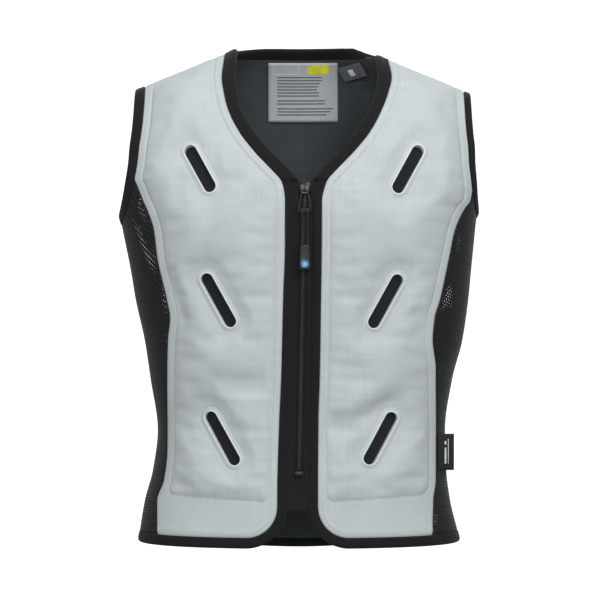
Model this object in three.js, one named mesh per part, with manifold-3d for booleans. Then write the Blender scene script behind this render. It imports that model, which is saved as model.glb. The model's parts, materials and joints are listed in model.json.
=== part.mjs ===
// Zip-front cooling vest, held up at the shoulders as it is worn: +Z up, the front faces -Y.
// Left and right are as seen from the front, so left is -X. The origin is midway between the
// neck ends of the two shoulders. Lengths are in millimetres.
import * as THREE from 'three';
import { mergeVertices } from 'three/addons/utils/BufferGeometryUtils.js';
import Module from 'manifold-3d';

const wasm = await Module();
wasm.setup();

// Overall size of the worn vest
const HALF_WIDTH = 214;
const BODY_LENGTH = 575;
const FRONT_DEPTH = 118;
const BACK_DEPTH = 112;
const CHEST_DROP = 190;
const SECTION_POWER = 2.3;
const SHOULDER_BEND = 1.6;
const SHOULDER_ROUND = { front: 0.65, back: 0.5, nape: 0.35 };
const NAPE_ROWS_BEND = 2.6;
const NAPE_SHARE = { from: 0.3, to: 0.85 };
const NECK_TURN = { sink: 3, width: 4, keep: 0.56 };
const NECK_SINK = { edge: 6, free: 2.4 };
const BACK_HEM_DROP = 18;

// Cloth thickness, from the outer face inwards
const GAP = 0.5;
const PANEL_WALL = 3;
const LINING_WALL = 1.2;
const LINING_SPACE = 0.7;
const MESH_WALL = 1.6;
const BINDING_PROUD = 0.8;
const BINDING_WALL = 6;
const PAD_RISE = 4;
const PAD_MARGIN = 7;
const PAD_SLOPE = 16;
const PAD_HEM = 45;

// Bound edges
const FRONT_BINDING = 10.5;
const HEM_BINDING = 12.5;
const NECK_BINDING = 12.5;
const HEM_CORNER = 36;

// Slots through the front panels
const SLOT_LENGTH = 70;
const SLOT_WIDTH = 15;
const SLOT_TILT = 29;

// Zip
const ZIP_TOP_DROP = 149;
const ZIP_TOP_X = 6.9;
const ZIP_LEAN = 0.0203;
const TAPE_BOTTOM_DROP = 533;
const CHAIN_BOTTOM_DROP = 485;
const CHAIN_WIDTH = 8.2;
const CHAIN_THICK = 2.6;
const TAPE_WALL = 1.2;
const TAPE_SUNK = 1;
const SLIDER_WIDTH = 14.5;
const SLIDER_HEIGHT = 16;
const SLIDER_PLATE = 2;
const BRIDGE_WIDTH = 2.4;
const BRIDGE_LENGTH = 12.4;
const BRIDGE_BAR = 1.8;
const LINK_WIRE = 1.6;
const LINK_PLAY = 0.5;
const LINK_TOP = 6;
const LINK_BOTTOM = 15;
const LINK_HEIGHT = 25;
const LINK_CORNER = 3;
const CORD_THICK = 2;
const CORD_SPACING = 6;
const CORD_DROP = 38;
const CORD_PLAY = 0.3;
const GRIP_FALL = 3.4;
const GRIP_LENGTH = 29;
const GRIP_TOP = 10.4;
const GRIP_BOTTOM = 12.8;
const GRIP_THICK = 4.6;
const BUTTON_WIDTH = 9.4;
const BUTTON_THICK = 1.2;
const PULL_LEAN = 5.2;
const STOP_WIDTH = 10;
const STOP_HEIGHT = 5;
const STOP_THICK = 4;

// Labels
const LABEL_WIDTH = 87;
const LABEL_HEIGHT = 72;
const LABEL_SHIFT = 5;
const LABEL_WALL = 0.9;
const LABEL_HANG = 1.8;
const SIZE_TAG_WIDTH = 34;
const SIZE_TAG_HEIGHT = 20;
const SIZE_TAG_X = 0.3224 * HALF_WIDTH;
const SIZE_TAG_TURN = 13;
const SIZE_TAG_HANG = 5.5;
const SIDE_TAG_WIDTH = 19;
const SIDE_TAG_HEIGHT = 43;
const SIDE_TAG_DROP = 445;

// Level sections of the body. Drop is a share of BODY_LENGTH, left and right of HALF_WIDTH,
// front of FRONT_DEPTH and back of BACK_DEPTH.
const SECTIONS = [
  { drop: -0.14, left: 1.10, right: 1.09, front: 1.0, back: 1.0 },
  { drop: 0.174, left: 1.10, right: 1.09, front: 1.0, back: 1.0 },
  { drop: 0.226, left: 1.08, right: 1.07, front: 1.0, back: 1.0 },
  { drop: 0.261, left: 1.06, right: 1.05, front: 1.0, back: 1.0 },
  { drop: 0.296, left: 1.03, right: 1.02, front: 1.0, back: 1.0 },
  { drop: 0.332, left: 1.00, right: 0.993, front: 1.0, back: 1.0 },
  { drop: 0.374, left: 0.976, right: 0.981, front: 0.995, back: 0.998 },
  { drop: 0.437, left: 0.942, right: 0.964, front: 0.985, back: 0.99 },
  { drop: 0.499, left: 0.914, right: 0.948, front: 0.965, back: 0.975 },
  { drop: 0.583, left: 0.864, right: 0.915, front: 0.94, back: 0.95 },
  { drop: 0.666, left: 0.830, right: 0.857, front: 0.92, back: 0.91 },
  { drop: 0.770, left: 0.791, right: 0.818, front: 0.90, back: 0.87 },
  { drop: 0.854, left: 0.819, right: 0.825, front: 0.905, back: 0.875 },
  { drop: 0.917, left: 0.864, right: 0.847, front: 0.925, back: 0.90 },
  { drop: 1.0, left: 0.897, right: 0.897, front: 0.95, back: 0.93 },
  { drop: 1.07, left: 0.91, right: 0.91, front: 0.96, back: 0.95 },
];

// Height of the shoulder ridge: across is a share of HALF_WIDTH, rise of BODY_LENGTH
const RIDGE = [
  { across: 0, rise: 0.061 }, { across: 0.14, rise: 0.056 }, { across: 0.28, rise: 0.039 },
  { across: 0.355, rise: 0.024 }, { across: 0.43, rise: 0.0115 }, { across: 0.505, rise: 0.001 },
  { across: 0.631, rise: -0.0185 }, { across: 0.776, rise: -0.040 }, { across: 0.907, rise: -0.061 },
  { across: 0.963, rise: -0.071 }, { across: 1.12, rise: -0.096 },
];

// Front edge and neckline of each grey panel, from the middle, as shares of HALF_WIDTH
const FRONT_EDGE = [
  { drop: -0.03, left: 0.418, right: 0.492 }, { drop: -0.004, left: 0.422, right: 0.502 },
  { drop: 0.036, left: 0.431, right: 0.517 }, { drop: 0.070, left: 0.418, right: 0.496 },
  { drop: 0.108, left: 0.392, right: 0.458 }, { drop: 0.155, left: 0.332, right: 0.392 },
  { drop: 0.197, left: 0.249, right: 0.304 }, { drop: 0.238, left: 0.146, right: 0.200 },
  { drop: 0.2591, left: 0.097, right: 0.152 }, { drop: 0.279, left: 0.081, right: 0.134 },
  { drop: 0.299, left: 0.0755, right: 0.124 }, { drop: 0.38, left: 0.0755, right: 0.123 },
  { drop: 0.499, left: 0.086, right: 0.119 }, { drop: 0.661, left: 0.097, right: 0.112 },
  { drop: 0.748, left: 0.108, right: 0.1045 }, { drop: 0.90, left: 0.1185, right: 0.103 },
  { drop: 1.07, left: 0.1185, right: 0.103 },
];

// Free edge of the neck binding on the front, as shares of HALF_WIDTH
const NECK_EDGE = [
  { drop: -0.03, left: 0.350, right: 0.424 }, { drop: 0.035, left: 0.353, right: 0.438 },
  { drop: 0.063, left: 0.345, right: 0.428 }, { drop: 0.107, left: 0.322, right: 0.388 },
  { drop: 0.164, left: 0.233, right: 0.298 }, { drop: 0.2075, left: 0.131, right: 0.196 },
  { drop: 0.238, left: 0.048, right: 0.115 }, { drop: 0.2591, left: 0.002, right: 0.074 },
];

// Back neckline under the binding: across is a share of the neck's half width
const BACK_NECK = [
  { across: 0, rise: 0.0133 }, { across: 0.5, rise: 0.0135 }, { across: 0.8, rise: 0.0125 },
  { across: 1, rise: 0.012 },
];

// Seam between the grey panels and the side mesh, as shares of HALF_WIDTH
const SIDE_SEAM = [
  { drop: 0.235, left: 0.93, right: 0.985 }, { drop: 0.275, left: 0.882, right: 0.960 },
  { drop: 0.296, left: 0.860, right: 0.951 }, { drop: 0.316, left: 0.836, right: 0.913 },
  { drop: 0.357, left: 0.798, right: 0.862 }, { drop: 0.417, left: 0.776, right: 0.827 },
  { drop: 0.499, left: 0.727, right: 0.776 }, { drop: 0.536, left: 0.710, right: 0.745 },
  { drop: 0.581, left: 0.724, right: 0.734 }, { drop: 0.642, left: 0.730, right: 0.755 },
  { drop: 0.807, left: 0.728, right: 0.762 }, { drop: 0.868, left: 0.749, right: 0.759 },
  { drop: 0.910, left: 0.788, right: 0.743 }, { drop: 1.0, left: 0.780, right: 0.740 },
];

// Armholes: tip is the half width over the shoulder as a share of HALF_WIDTH, bottom the armpit's
// drop as a share of BODY_LENGTH
const ARMHOLE = {
  left: { tip: 0.9206, bottom: 0.3235, binding: 12 },
  right: { tip: 0.9626, bottom: 0.3148, binding: 8 },
};
const ARMHOLE_BEND = 3;

// Slots: across is a share of HALF_WIDTH, drop of BODY_LENGTH, length of SLOT_LENGTH
const SLOTS = [
  { side: 'left', across: 0.535, drop: 0.235, length: 0.88 },
  { side: 'left', across: 0.434, drop: 0.500, length: 1 },
  { side: 'left', across: 0.413, drop: 0.779, length: 1 },
  { side: 'right', across: 0.590, drop: 0.236, length: 0.9 },
  { side: 'right', across: 0.467, drop: 0.502, length: 1 },
  { side: 'right', across: 0.440, drop: 0.779, length: 0.97 },
];

// Folds pressed into the front panels, each a groove between two points
const FOLDS = [
  { side: 'left', x1: 0.64, d1: 0.755, x2: 0.47, d2: 0.672, width: 13, deep: 2.4 },
  { side: 'left', x1: 0.45, d1: 0.662, x2: 0.22, d2: 0.670, width: 13, deep: 2.2 },
  { side: 'left', x1: 0.70, d1: 0.468, x2: 0.63, d2: 0.540, width: 10, deep: 2 },
  { side: 'right', x1: 0.18, d1: 0.750, x2: 0.40, d2: 0.733, width: 13, deep: 2.2 },
  { side: 'right', x1: 0.40, d1: 0.730, x2: 0.53, d2: 0.690, width: 13, deep: 2.2 },
  { side: 'right', x1: 0.62, d1: 0.530, x2: 0.73, d2: 0.590, width: 11, deep: 2.2 },
];

// Grid density, and the steps taken to find where two lines meet
const SEARCH_STEPS = 40;
const PANEL_COLUMNS = 10;
const LINING_COLUMNS = 4;
const BODY_ROWS = 13;
const SHOULDER_ROWS = 8;
const CORNER_ROWS = 3;
const MESH_COLUMNS = 7;
const BACK_SHOULDER_COLUMNS = 3;
const BACK_NECK_COLUMNS = 8;

const SIGN = { left: -1, right: 1 };
const SIDES = ['left', 'right'];
const lerp = THREE.MathUtils.lerp;
const clamp = THREE.MathUtils.clamp;
const degrees = THREE.MathUtils.degToRad;

// Smooth curve through one column of a table, without overshoot between its rows
function curve(rows, key, column) {
  const x = rows.map((row) => row[key]);
  const y = rows.map((row) => row[column]);
  const slope = x.slice(1).map((value, i) => (y[i + 1] - y[i]) / (value - x[i]));
  const tangent = x.map((value, i) => {
    const before = slope[i - 1] ?? slope[i];
    const after = slope[i] ?? slope[i - 1];
    return before * after <= 0 ? 0 : (2 * before * after) / (before + after);
  });
  return (at) => {
    const v = clamp(at, x[0], x[x.length - 1]);
    const i = Math.max(0, Math.min(x.length - 2, x.findIndex((value) => value > v) - 1));
    const last = v >= x[x.length - 1];
    const k = last ? x.length - 2 : i;
    const span = x[k + 1] - x[k];
    const t = (v - x[k]) / span;
    const u = 1 - t;
    return y[k] * (1 + 2 * t) * u * u + tangent[k] * span * t * u * u
      + y[k + 1] * t * t * (3 - 2 * t) - tangent[k + 1] * span * t * t * u;
  };
}

const sectionOf = {
  left: curve(SECTIONS, 'drop', 'left'), right: curve(SECTIONS, 'drop', 'right'),
};
const frontShare = curve(SECTIONS, 'drop', 'front');
const backShare = curve(SECTIONS, 'drop', 'back');
const ridgeShare = curve(RIDGE, 'across', 'rise');
const frontEdgeShare = {
  left: curve(FRONT_EDGE, 'drop', 'left'), right: curve(FRONT_EDGE, 'drop', 'right'),
};
const neckEdgeShare = {
  left: curve(NECK_EDGE, 'drop', 'left'), right: curve(NECK_EDGE, 'drop', 'right'),
};
const seamShare = {
  left: curve(SIDE_SEAM, 'drop', 'left'), right: curve(SIDE_SEAM, 'drop', 'right'),
};
const backNeckShare = curve(BACK_NECK, 'across', 'rise');

// Body surface

function halfWidth(side, z) {
  return HALF_WIDTH * sectionOf[side](-z / BODY_LENGTH);
}

function ridge(x) {
  return BODY_LENGTH * ridgeShare(Math.abs(x) / HALF_WIDTH);
}

// Depth of the body at its middle, pinched in towards the shoulder ridge
function middleDepth(x, z, back) {
  const drop = -z / BODY_LENGTH;
  const depth = back ? BACK_DEPTH * backShare(drop) : FRONT_DEPTH * frontShare(drop);
  const climb = clamp((z + CHEST_DROP) / (ridge(x) + CHEST_DROP), 0, 1);
  return depth * (1 - climb ** SHOULDER_BEND) ** shoulderRound(x, back);
}

// The front slopes up to the ridge, the back stays full until close to it, most of all at the nape
function shoulderRound(x, back) {
  if (!back) return SHOULDER_ROUND.front;
  const share = THREE.MathUtils.smoothstep(Math.abs(x) / HALF_WIDTH, NAPE_SHARE.from, NAPE_SHARE.to);
  return lerp(SHOULDER_ROUND.nape, SHOULDER_ROUND.back, share);
}

// Point on the front or back of the body at the given place of the front view
function sheetPoint(x, z, back) {
  const share = Math.min(1, Math.abs(x) / halfWidth(x < 0 ? 'left' : 'right', z));
  const y = middleDepth(x, z, back) * (1 - share ** SECTION_POWER) ** (1 / SECTION_POWER);
  return new THREE.Vector3(x, back ? y : -y, z);
}

// Point on the body's side: the angle runs from 90 in front through 0 at the side to -90 behind
function sidePoint(side, angle, z) {
  const x = SIGN[side] * halfWidth(side, z) * Math.cos(angle) ** (2 / SECTION_POWER);
  const y = middleDepth(x, z, angle < 0) * Math.abs(Math.sin(angle)) ** (2 / SECTION_POWER);
  return new THREE.Vector3(x, angle < 0 ? y : -y, z);
}

function sideAngle(side, x, z) {
  return Math.acos(Math.min(1, Math.abs(x) / halfWidth(side, z)) ** (SECTION_POWER / 2));
}

// How far a point lies outside the body, as a plain number whose gradient is the outward normal
function outside(p) {
  const wide = Math.abs(p.x) / halfWidth(p.x < 0 ? 'left' : 'right', p.z);
  const deep = Math.abs(p.y) / Math.max(1e-6, middleDepth(p.x, p.z, p.y > 0));
  return wide ** SECTION_POWER + deep ** SECTION_POWER;
}

function normalAt(p) {
  const near = 0.3;
  const step = 0.05;
  if (ridge(p.x) - p.z < near) {
    const rise = (ridge(p.x + step) - ridge(p.x - step)) / (2 * step);
    return new THREE.Vector3(-rise, 0, 1).normalize();
  }
  const slope = (axis) => {
    const ahead = p.clone();
    const behind = p.clone();
    ahead[axis] += step;
    behind[axis] -= step;
    return outside(ahead) - outside(behind);
  };
  return new THREE.Vector3(slope('x'), slope('y'), slope('z')).normalize();
}

function offset(p, distance) {
  return p.clone().addScaledVector(normalAt(p), distance);
}

// Edges of the pieces in the front view. Each gives x, or the distance from the middle, at a height.

function straightEdge(side, z) {
  return HALF_WIDTH * frontEdgeShare[side](-z / BODY_LENGTH);
}

function frontEdge(side, z) {
  const edge = straightEdge(side, z);
  const above = z - (hemTop() + HEM_CORNER);
  if (above >= 0) return edge;
  const reach = Math.sqrt(Math.max(0, HEM_CORNER ** 2 - above ** 2));
  return edge + HEM_CORNER - reach;
}

function hemTop() {
  return HEM_BINDING - BODY_LENGTH;
}

function neckEdge(side, z) {
  return HALF_WIDTH * neckEdgeShare[side](-z / BODY_LENGTH);
}

function seamEdge(side, z) {
  return HALF_WIDTH * seamShare[side](-z / BODY_LENGTH);
}

// Loop round an armhole, in from its free edge. The share runs from 0 at the ridge to 1 in the armpit.
function armhole(side, inset) {
  const tip = ARMHOLE[side].tip * HALF_WIDTH - inset;
  const top = ridge(tip);
  const drop = ARMHOLE[side].bottom * BODY_LENGTH + inset + top;
  const widest = sideAngle(side, tip, top);
  const angle = (share) => widest * Math.sqrt(Math.max(0, 1 - share ** ARMHOLE_BEND));
  const shareOfAngle = (a) => (1 - Math.min(1, Math.abs(a) / widest) ** 2) ** (1 / ARMHOLE_BEND);
  const height = (share) => top - share * drop;
  const shareOfHeight = (z) => clamp((top - z) / drop, 0, 1);
  const point = (share, back) => sidePoint(side, back ? -angle(share) : angle(share), height(share));
  return { height, shareOfAngle, shareOfHeight, point };
}

function armholeEdge(side, inset, z) {
  const loop = armhole(side, inset);
  return Math.abs(loop.point(loop.shareOfHeight(z), false).x);
}

// Outer edge of a body panel: the side seam, then the armhole above it
function panelEdge(side, z) {
  const seam = seamEdge(side, z) - GAP / 2;
  return Math.min(seam, armholeEdge(side, ARMHOLE[side].binding + GAP, z));
}

// Height where the side seam meets the armhole binding
function seamTop(side) {
  let low = -CHEST_DROP;
  let high = -BODY_LENGTH * SIDE_SEAM[0].drop;
  for (let i = 0; i < SEARCH_STEPS; i += 1) {
    const z = (low + high) / 2;
    if (seamEdge(side, z) < armholeEdge(side, ARMHOLE[side].binding + GAP, z)) low = z;
    else high = z;
  }
  return (low + high) / 2;
}

const SEAM_TOP = { left: seamTop('left'), right: seamTop('right') };

// Rows of a front panel: the rounded corner, the straight run to the zip top, then the shoulder
function frontRows() {
  const run = -ZIP_TOP_DROP - hemTop();
  const rows = [];
  for (let i = 0; i < CORNER_ROWS; i += 1) {
    const turn = (Math.PI / 2) * (1 - i / CORNER_ROWS);
    rows.push((HEM_CORNER * (1 - Math.sin(turn))) / run);
  }
  for (let i = 0; i <= BODY_ROWS; i += 1) rows.push(lerp(cornerRow(), 1, i / BODY_ROWS));
  return [...rows, ...shoulderRows()];
}

// Rows above the armpit, closer together where the shoulder turns over
function shoulderRows(bend = SHOULDER_BEND) {
  return Array.from({ length: SHOULDER_ROWS }, (unused, i) => 2 - (1 - (i + 1) / SHOULDER_ROWS) ** bend);
}

// Height of a row: 0 is the hem, 1 the line from zip top to armpit seam, 2 the shoulder ridge.
// The key is the height of that middle line.
function rowHeight(row, x, key) {
  return row <= 1 ? lerp(hemTop(), key, row) : lerp(key, ridge(x), row - 1);
}

// Point where a row meets an edge that is given as a distance from the middle
function rowEnd(row, side, edge, key) {
  let z = rowHeight(row, 0, key);
  let x = 0;
  for (let i = 0; i < SEARCH_STEPS; i += 1) {
    x = edge(side, z);
    z = lerp(z, rowHeight(row, x, key), 0.6);
  }
  return { x: SIGN[side] * x, z };
}

// Rows of the side mesh and the back, which match the front panel's at the seams
function seamRows() {
  return [0, ...frontRows().filter((row) => row >= cornerRow() && row <= 1)];
}

function cornerRow() {
  return HEM_CORNER / (-ZIP_TOP_DROP - hemTop());
}

// Closed slab between an outer and an inner grid of points. A ring joins its last row to its first.
function slab(outer, inner, ring = false) {
  const rows = outer.length;
  const columns = outer[0].length;
  const points = [...outer.flat(), ...inner.flat()];
  const id = (layer, i, j) => layer * rows * columns + (i % rows) * columns + j;
  const faces = [];
  const quad = (a, b, c, d) => faces.push(a, b, c, a, c, d);
  const spans = ring ? rows : rows - 1;
  for (let i = 0; i < spans; i += 1) {
    for (let j = 0; j < columns - 1; j += 1) {
      quad(id(0, i, j), id(0, i, j + 1), id(0, i + 1, j + 1), id(0, i + 1, j));
      quad(id(1, i, j), id(1, i + 1, j), id(1, i + 1, j + 1), id(1, i, j + 1));
    }
    quad(id(0, i, 0), id(0, i + 1, 0), id(1, i + 1, 0), id(1, i, 0));
    quad(id(0, i + 1, columns - 1), id(0, i, columns - 1), id(1, i, columns - 1), id(1, i + 1, columns - 1));
  }
  for (let j = 0; j < columns - 1 && !ring; j += 1) {
    quad(id(0, 0, j + 1), id(0, 0, j), id(1, 0, j), id(1, 0, j + 1));
    quad(id(0, rows - 1, j), id(0, rows - 1, j + 1), id(1, rows - 1, j + 1), id(1, rows - 1, j));
  }
  return facingOut(points, faces);
}

// Geometry from points and faces, turned so that its faces point out
function facingOut(points, faces) {
  let volume = 0;
  for (let i = 0; i < faces.length; i += 3) {
    const [a, b, c] = [points[faces[i]], points[faces[i + 1]], points[faces[i + 2]]];
    volume += a.dot(b.clone().cross(c));
  }
  const index = volume > 0 ? faces : faces.slice().reverse();
  const geometry = new THREE.BufferGeometry();
  geometry.setAttribute('position', new THREE.Float32BufferAttribute(points.flatMap((p) => p.toArray()), 3));
  geometry.setIndex(index);
  return geometry;
}

// Slab that follows the body, between two offsets from its surface
function cloth(grid, outer, inner, ring = false) {
  const level = (depth) => grid.map((row, i) => row.map((p, j) => {
    return offset(p, typeof depth === 'function' ? depth(p, i, j) : depth);
  }));
  return slab(level(outer), level(inner), ring);
}

// Solids for cutting and joining

function solid(geometry) {
  const bare = geometry.clone();
  bare.deleteAttribute('normal');
  bare.deleteAttribute('uv');
  const merged = mergeVertices(bare, 1e-4);
  return new wasm.Manifold(new wasm.Mesh({
    numProp: 3,
    vertProperties: Float32Array.from(merged.attributes.position.array),
    triVerts: Uint32Array.from(merged.index.array),
  }));
}

function fromSolid(body) {
  const mesh = body.getMesh();
  const geometry = new THREE.BufferGeometry();
  geometry.setAttribute('position', new THREE.Float32BufferAttribute(Array.from(mesh.vertProperties), 3));
  geometry.setIndex(Array.from(mesh.triVerts));
  return geometry;
}

// Height of the padding above a panel's flat edge
function padRise(side, p) {
  const soft = (distance) => THREE.MathUtils.smoothstep(distance, PAD_MARGIN, PAD_MARGIN + PAD_SLOPE);
  const x = Math.abs(p.x);
  const edges = [
    x - frontEdge(side, p.z), panelEdge(side, p.z) - x, p.z - hemTop() - PAD_HEM + PAD_MARGIN,
    ridge(p.x) - p.z,
  ];
  return PAD_RISE * edges.reduce((rise, distance) => rise * soft(distance), 1);
}

// Depth of the folds at a point of a front panel
function foldDepth(side, p) {
  const at = new THREE.Vector2(Math.abs(p.x), -p.z);
  return FOLDS.filter((fold) => fold.side === side).reduce((deepest, fold) => {
    const from = new THREE.Vector2(fold.x1 * HALF_WIDTH, fold.d1 * BODY_LENGTH);
    const along = new THREE.Vector2(fold.x2 * HALF_WIDTH, fold.d2 * BODY_LENGTH).sub(from);
    const share = clamp(at.clone().sub(from).dot(along) / along.lengthSq(), 0, 1);
    const away = at.distanceTo(from.clone().addScaledVector(along, share)) / fold.width;
    return Math.max(deepest, fold.deep * Math.exp(-away * away));
  }, 0);
}

// Front panels and linings

function frontGrid(side, columns) {
  return frontRows().map((row) => {
    const from = rowEnd(row, side, frontEdge, -ZIP_TOP_DROP);
    const to = rowEnd(row, side, panelEdge, SEAM_TOP[side]);
    return Array.from({ length: columns + 1 }, (unused, j) => {
      const x = lerp(from.x, to.x, j / columns);
      const p = sheetPoint(x, rowHeight(row, x, lerp(-ZIP_TOP_DROP, SEAM_TOP[side], j / columns)), false);
      p.y = Math.min(p.y, -GAP / 2);
      return p;
    });
  });
}

function slotCutter(slot) {
  const half = (SLOT_LENGTH * slot.length - SLOT_WIDTH) / 2;
  const shape = new THREE.Shape();
  shape.absarc(0, half, SLOT_WIDTH / 2, 0, Math.PI, false);
  shape.absarc(0, -half, SLOT_WIDTH / 2, Math.PI, 2 * Math.PI, false);
  const geometry = new THREE.ExtrudeGeometry(shape, {
    depth: 2 * FRONT_DEPTH, bevelEnabled: false, curveSegments: 6,
  });
  geometry.rotateZ(-SIGN[slot.side] * degrees(SLOT_TILT));
  geometry.rotateX(Math.PI / 2);
  geometry.translate(SIGN[slot.side] * slot.across * HALF_WIDTH, 0, -slot.drop * BODY_LENGTH);
  return geometry;
}

function frontPanel(side) {
  const rise = (p) => padRise(side, p) - foldDepth(side, p) * Math.min(1, padRise(side, p) / PAD_RISE);
  let body = solid(cloth(frontGrid(side, PANEL_COLUMNS), rise, -PANEL_WALL));
  for (const slot of SLOTS.filter((entry) => entry.side === side)) {
    body = body.subtract(solid(slotCutter(slot)));
  }
  return fromSolid(body);
}

function frontLining(side) {
  const face = -PANEL_WALL - LINING_SPACE;
  return cloth(frontGrid(side, LINING_COLUMNS), face, face - LINING_WALL);
}

// Back panel and lining

// Half width of the neck at the ridge, where the binding starts
function neckHalf(side) {
  return rowEnd(2, side, frontEdge, -ZIP_TOP_DROP).x * SIGN[side];
}

const NECK_HALF = { left: neckHalf('left'), right: neckHalf('right') };

// Free edge of the neck binding at the ridge, as a distance from the middle
function neckFree(side) {
  return rowEnd(2, side, neckEdge, -ZIP_TOP_DROP).x * SIGN[side];
}

// Height that the back of the neck stays under, so that it meets the shoulder ridge at its ends
function underRidge(x, share, sink) {
  return ridge(x) - sink * (1 - share ** NECK_TURN.sink);
}

function backNeck(x) {
  const side = x < 0 ? 'left' : 'right';
  const share = Math.min(1, Math.abs(x) / NECK_HALF[side]);
  return Math.min(BODY_LENGTH * backNeckShare(share), underRidge(x, share, NECK_SINK.edge)) - GAP;
}

function backTop(x) {
  const side = x < 0 ? 'left' : 'right';
  return Math.abs(x) < NECK_HALF[side] - GAP ? backNeck(x) : ridge(x);
}

function backHem(x) {
  const share = Math.min(1, Math.abs(x) / seamEdge(x < 0 ? 'left' : 'right', hemTop()));
  return hemTop() - BACK_HEM_DROP * (1 - share * share);
}

function backRows() {
  return [...seamRows(), ...shoulderRows(NAPE_ROWS_BEND)];
}

// Columns along the top edge: left shoulder, back of the neck, right shoulder
function backTopColumns() {
  const ends = { left: -panelTip('left'), right: panelTip('right') };
  const columns = [];
  for (let i = 0; i < BACK_SHOULDER_COLUMNS; i += 1) {
    columns.push(lerp(ends.left, -NECK_HALF.left, i / BACK_SHOULDER_COLUMNS));
  }
  for (let i = 0; i <= BACK_NECK_COLUMNS; i += 1) columns.push(neckColumn(i / BACK_NECK_COLUMNS));
  for (let i = 1; i <= BACK_SHOULDER_COLUMNS; i += 1) {
    columns.push(lerp(NECK_HALF.right, ends.right, i / BACK_SHOULDER_COLUMNS));
  }
  return columns;
}

function panelTip(side) {
  return Math.abs(rowEnd(2, side, panelEdge, SEAM_TOP[side]).x);
}

// Columns crowd towards the ends of the neck, where it turns
function neckColumn(share) {
  const middle = (NECK_HALF.right - NECK_HALF.left) / 2;
  const half = (NECK_HALF.right + NECK_HALF.left) / 2;
  return middle - half * Math.cos(Math.PI * share);
}

function backHeight(row, x, key) {
  return row <= 1 ? lerp(backHem(x), key, row) : lerp(key, backTop(x), row - 1);
}

function backGrid() {
  const top = backTopColumns();
  const count = top.length - 1;
  return backRows().map((row) => {
    const from = rowEnd(row, 'left', panelEdge, SEAM_TOP.left);
    const to = rowEnd(row, 'right', panelEdge, SEAM_TOP.right);
    const blend = Math.max(0, row - 1);
    return top.map((topX, j) => {
      const even = lerp(from.x, to.x, j / count);
      const inner = lerp(even, topX, blend);
      const x = j === 0 ? from.x : j === count ? to.x : inner;
      const key = lerp(SEAM_TOP.left, SEAM_TOP.right, j / count);
      const z = j === 0 ? from.z : j === count ? to.z : backHeight(row, x, key);
      const p = sheetPoint(x, z, true);
      p.y = Math.max(p.y, GAP / 2);
      return p;
    });
  });
}

function backPanel() {
  const soft = (distance) => THREE.MathUtils.smoothstep(distance, PAD_MARGIN, PAD_MARGIN + PAD_SLOPE);
  const rise = (p) => {
    const side = p.x < 0 ? 'left' : 'right';
    const top = soft(backTop(p.x) - p.z);
    const bottom = soft(p.z - backHem(p.x) - PAD_HEM + PAD_MARGIN);
    return PAD_RISE * top * bottom * soft(panelEdge(side, p.z) - Math.abs(p.x));
  };
  return cloth(backGrid(), rise, -PANEL_WALL);
}

function backLining() {
  const face = -PANEL_WALL - LINING_SPACE;
  return cloth(backGrid(), face, face - LINING_WALL);
}

// Side mesh between the seams, from the hem up to the armhole binding

function meshAngle(side, share, z) {
  const seam = sideAngle(side, seamEdge(side, z) + GAP / 2, z);
  return lerp(seam, -seam, share);
}

function meshTop(side, share) {
  const loop = armhole(side, ARMHOLE[side].binding + GAP);
  let z = SEAM_TOP[side];
  for (let i = 0; i < SEARCH_STEPS; i += 1) {
    const edge = loop.height(loop.shareOfAngle(meshAngle(side, share, z)));
    z = lerp(z, Math.min(SEAM_TOP[side], edge), 0.5);
  }
  return z;
}

function meshGrid(side) {
  return seamRows().map((row) => {
    return Array.from({ length: MESH_COLUMNS + 1 }, (unused, j) => {
      const share = j / MESH_COLUMNS;
      const z = lerp(hemTop(), meshTop(side, share), row);
      return sidePoint(side, meshAngle(side, share, z), z);
    });
  });
}

function sideMesh(side) {
  return cloth(meshGrid(side), 0, -MESH_WALL);
}

// Bindings: each is a strip between the edge it covers and its free edge

function strip(pairs, ring = false) {
  const grid = pairs.map(([edge, free]) => [edge, edge.clone().lerp(free, 0.5), free]);
  for (const row of grid) row[1] = onBody(row[1]);
  const proud = (p, i, j) => (j === 1 ? BINDING_PROUD : BINDING_PROUD / 2);
  return cloth(grid, proud, BINDING_PROUD - BINDING_WALL, ring);
}

// The point of the body surface at the same place of the front view
function onBody(p) {
  const share = Math.abs(p.x) / halfWidth(p.x < 0 ? 'left' : 'right', p.z);
  if (ridge(p.x) - p.z < GAP || share > NAPE_SHARE.to) return p;
  return sheetPoint(p.x, p.z, p.y > 0);
}

function frontBinding(side) {
  const pairs = [];
  for (const row of seamRows().slice(1).reverse()) {
    const at = rowEnd(row, side, frontEdge, -ZIP_TOP_DROP);
    const x = Math.abs(at.x) - GAP;
    const z = Math.min(at.z, -ZIP_TOP_DROP - GAP);
    pairs.push([x, x - FRONT_BINDING].map((edge) => sheetPoint(SIGN[side] * edge, z, false)));
  }
  const centre = { x: frontEdge(side, hemTop() + HEM_CORNER) + HEM_CORNER, z: hemTop() + HEM_CORNER };
  for (let i = 1; i <= CORNER_ROWS; i += 1) {
    const turn = (Math.PI / 2) * (i / CORNER_ROWS);
    const width = lerp(FRONT_BINDING, HEM_BINDING - GAP, i / CORNER_ROWS);
    const at = (radius) => sheetPoint(
      SIGN[side] * (centre.x - radius * Math.cos(turn)), centre.z - radius * Math.sin(turn), false);
    pairs.push([at(HEM_CORNER + GAP), at(HEM_CORNER + GAP + width)]);
  }
  const from = centre.x;
  const to = seamEdge(side, hemTop()) - GAP / 2;
  for (let j = 1; j <= PANEL_COLUMNS; j += 1) {
    const x = SIGN[side] * lerp(from, to, j / PANEL_COLUMNS);
    pairs.push([sheetPoint(x, hemTop() - GAP, false), sheetPoint(x, -BODY_LENGTH, false)]);
  }
  return strip(pairs);
}

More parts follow.
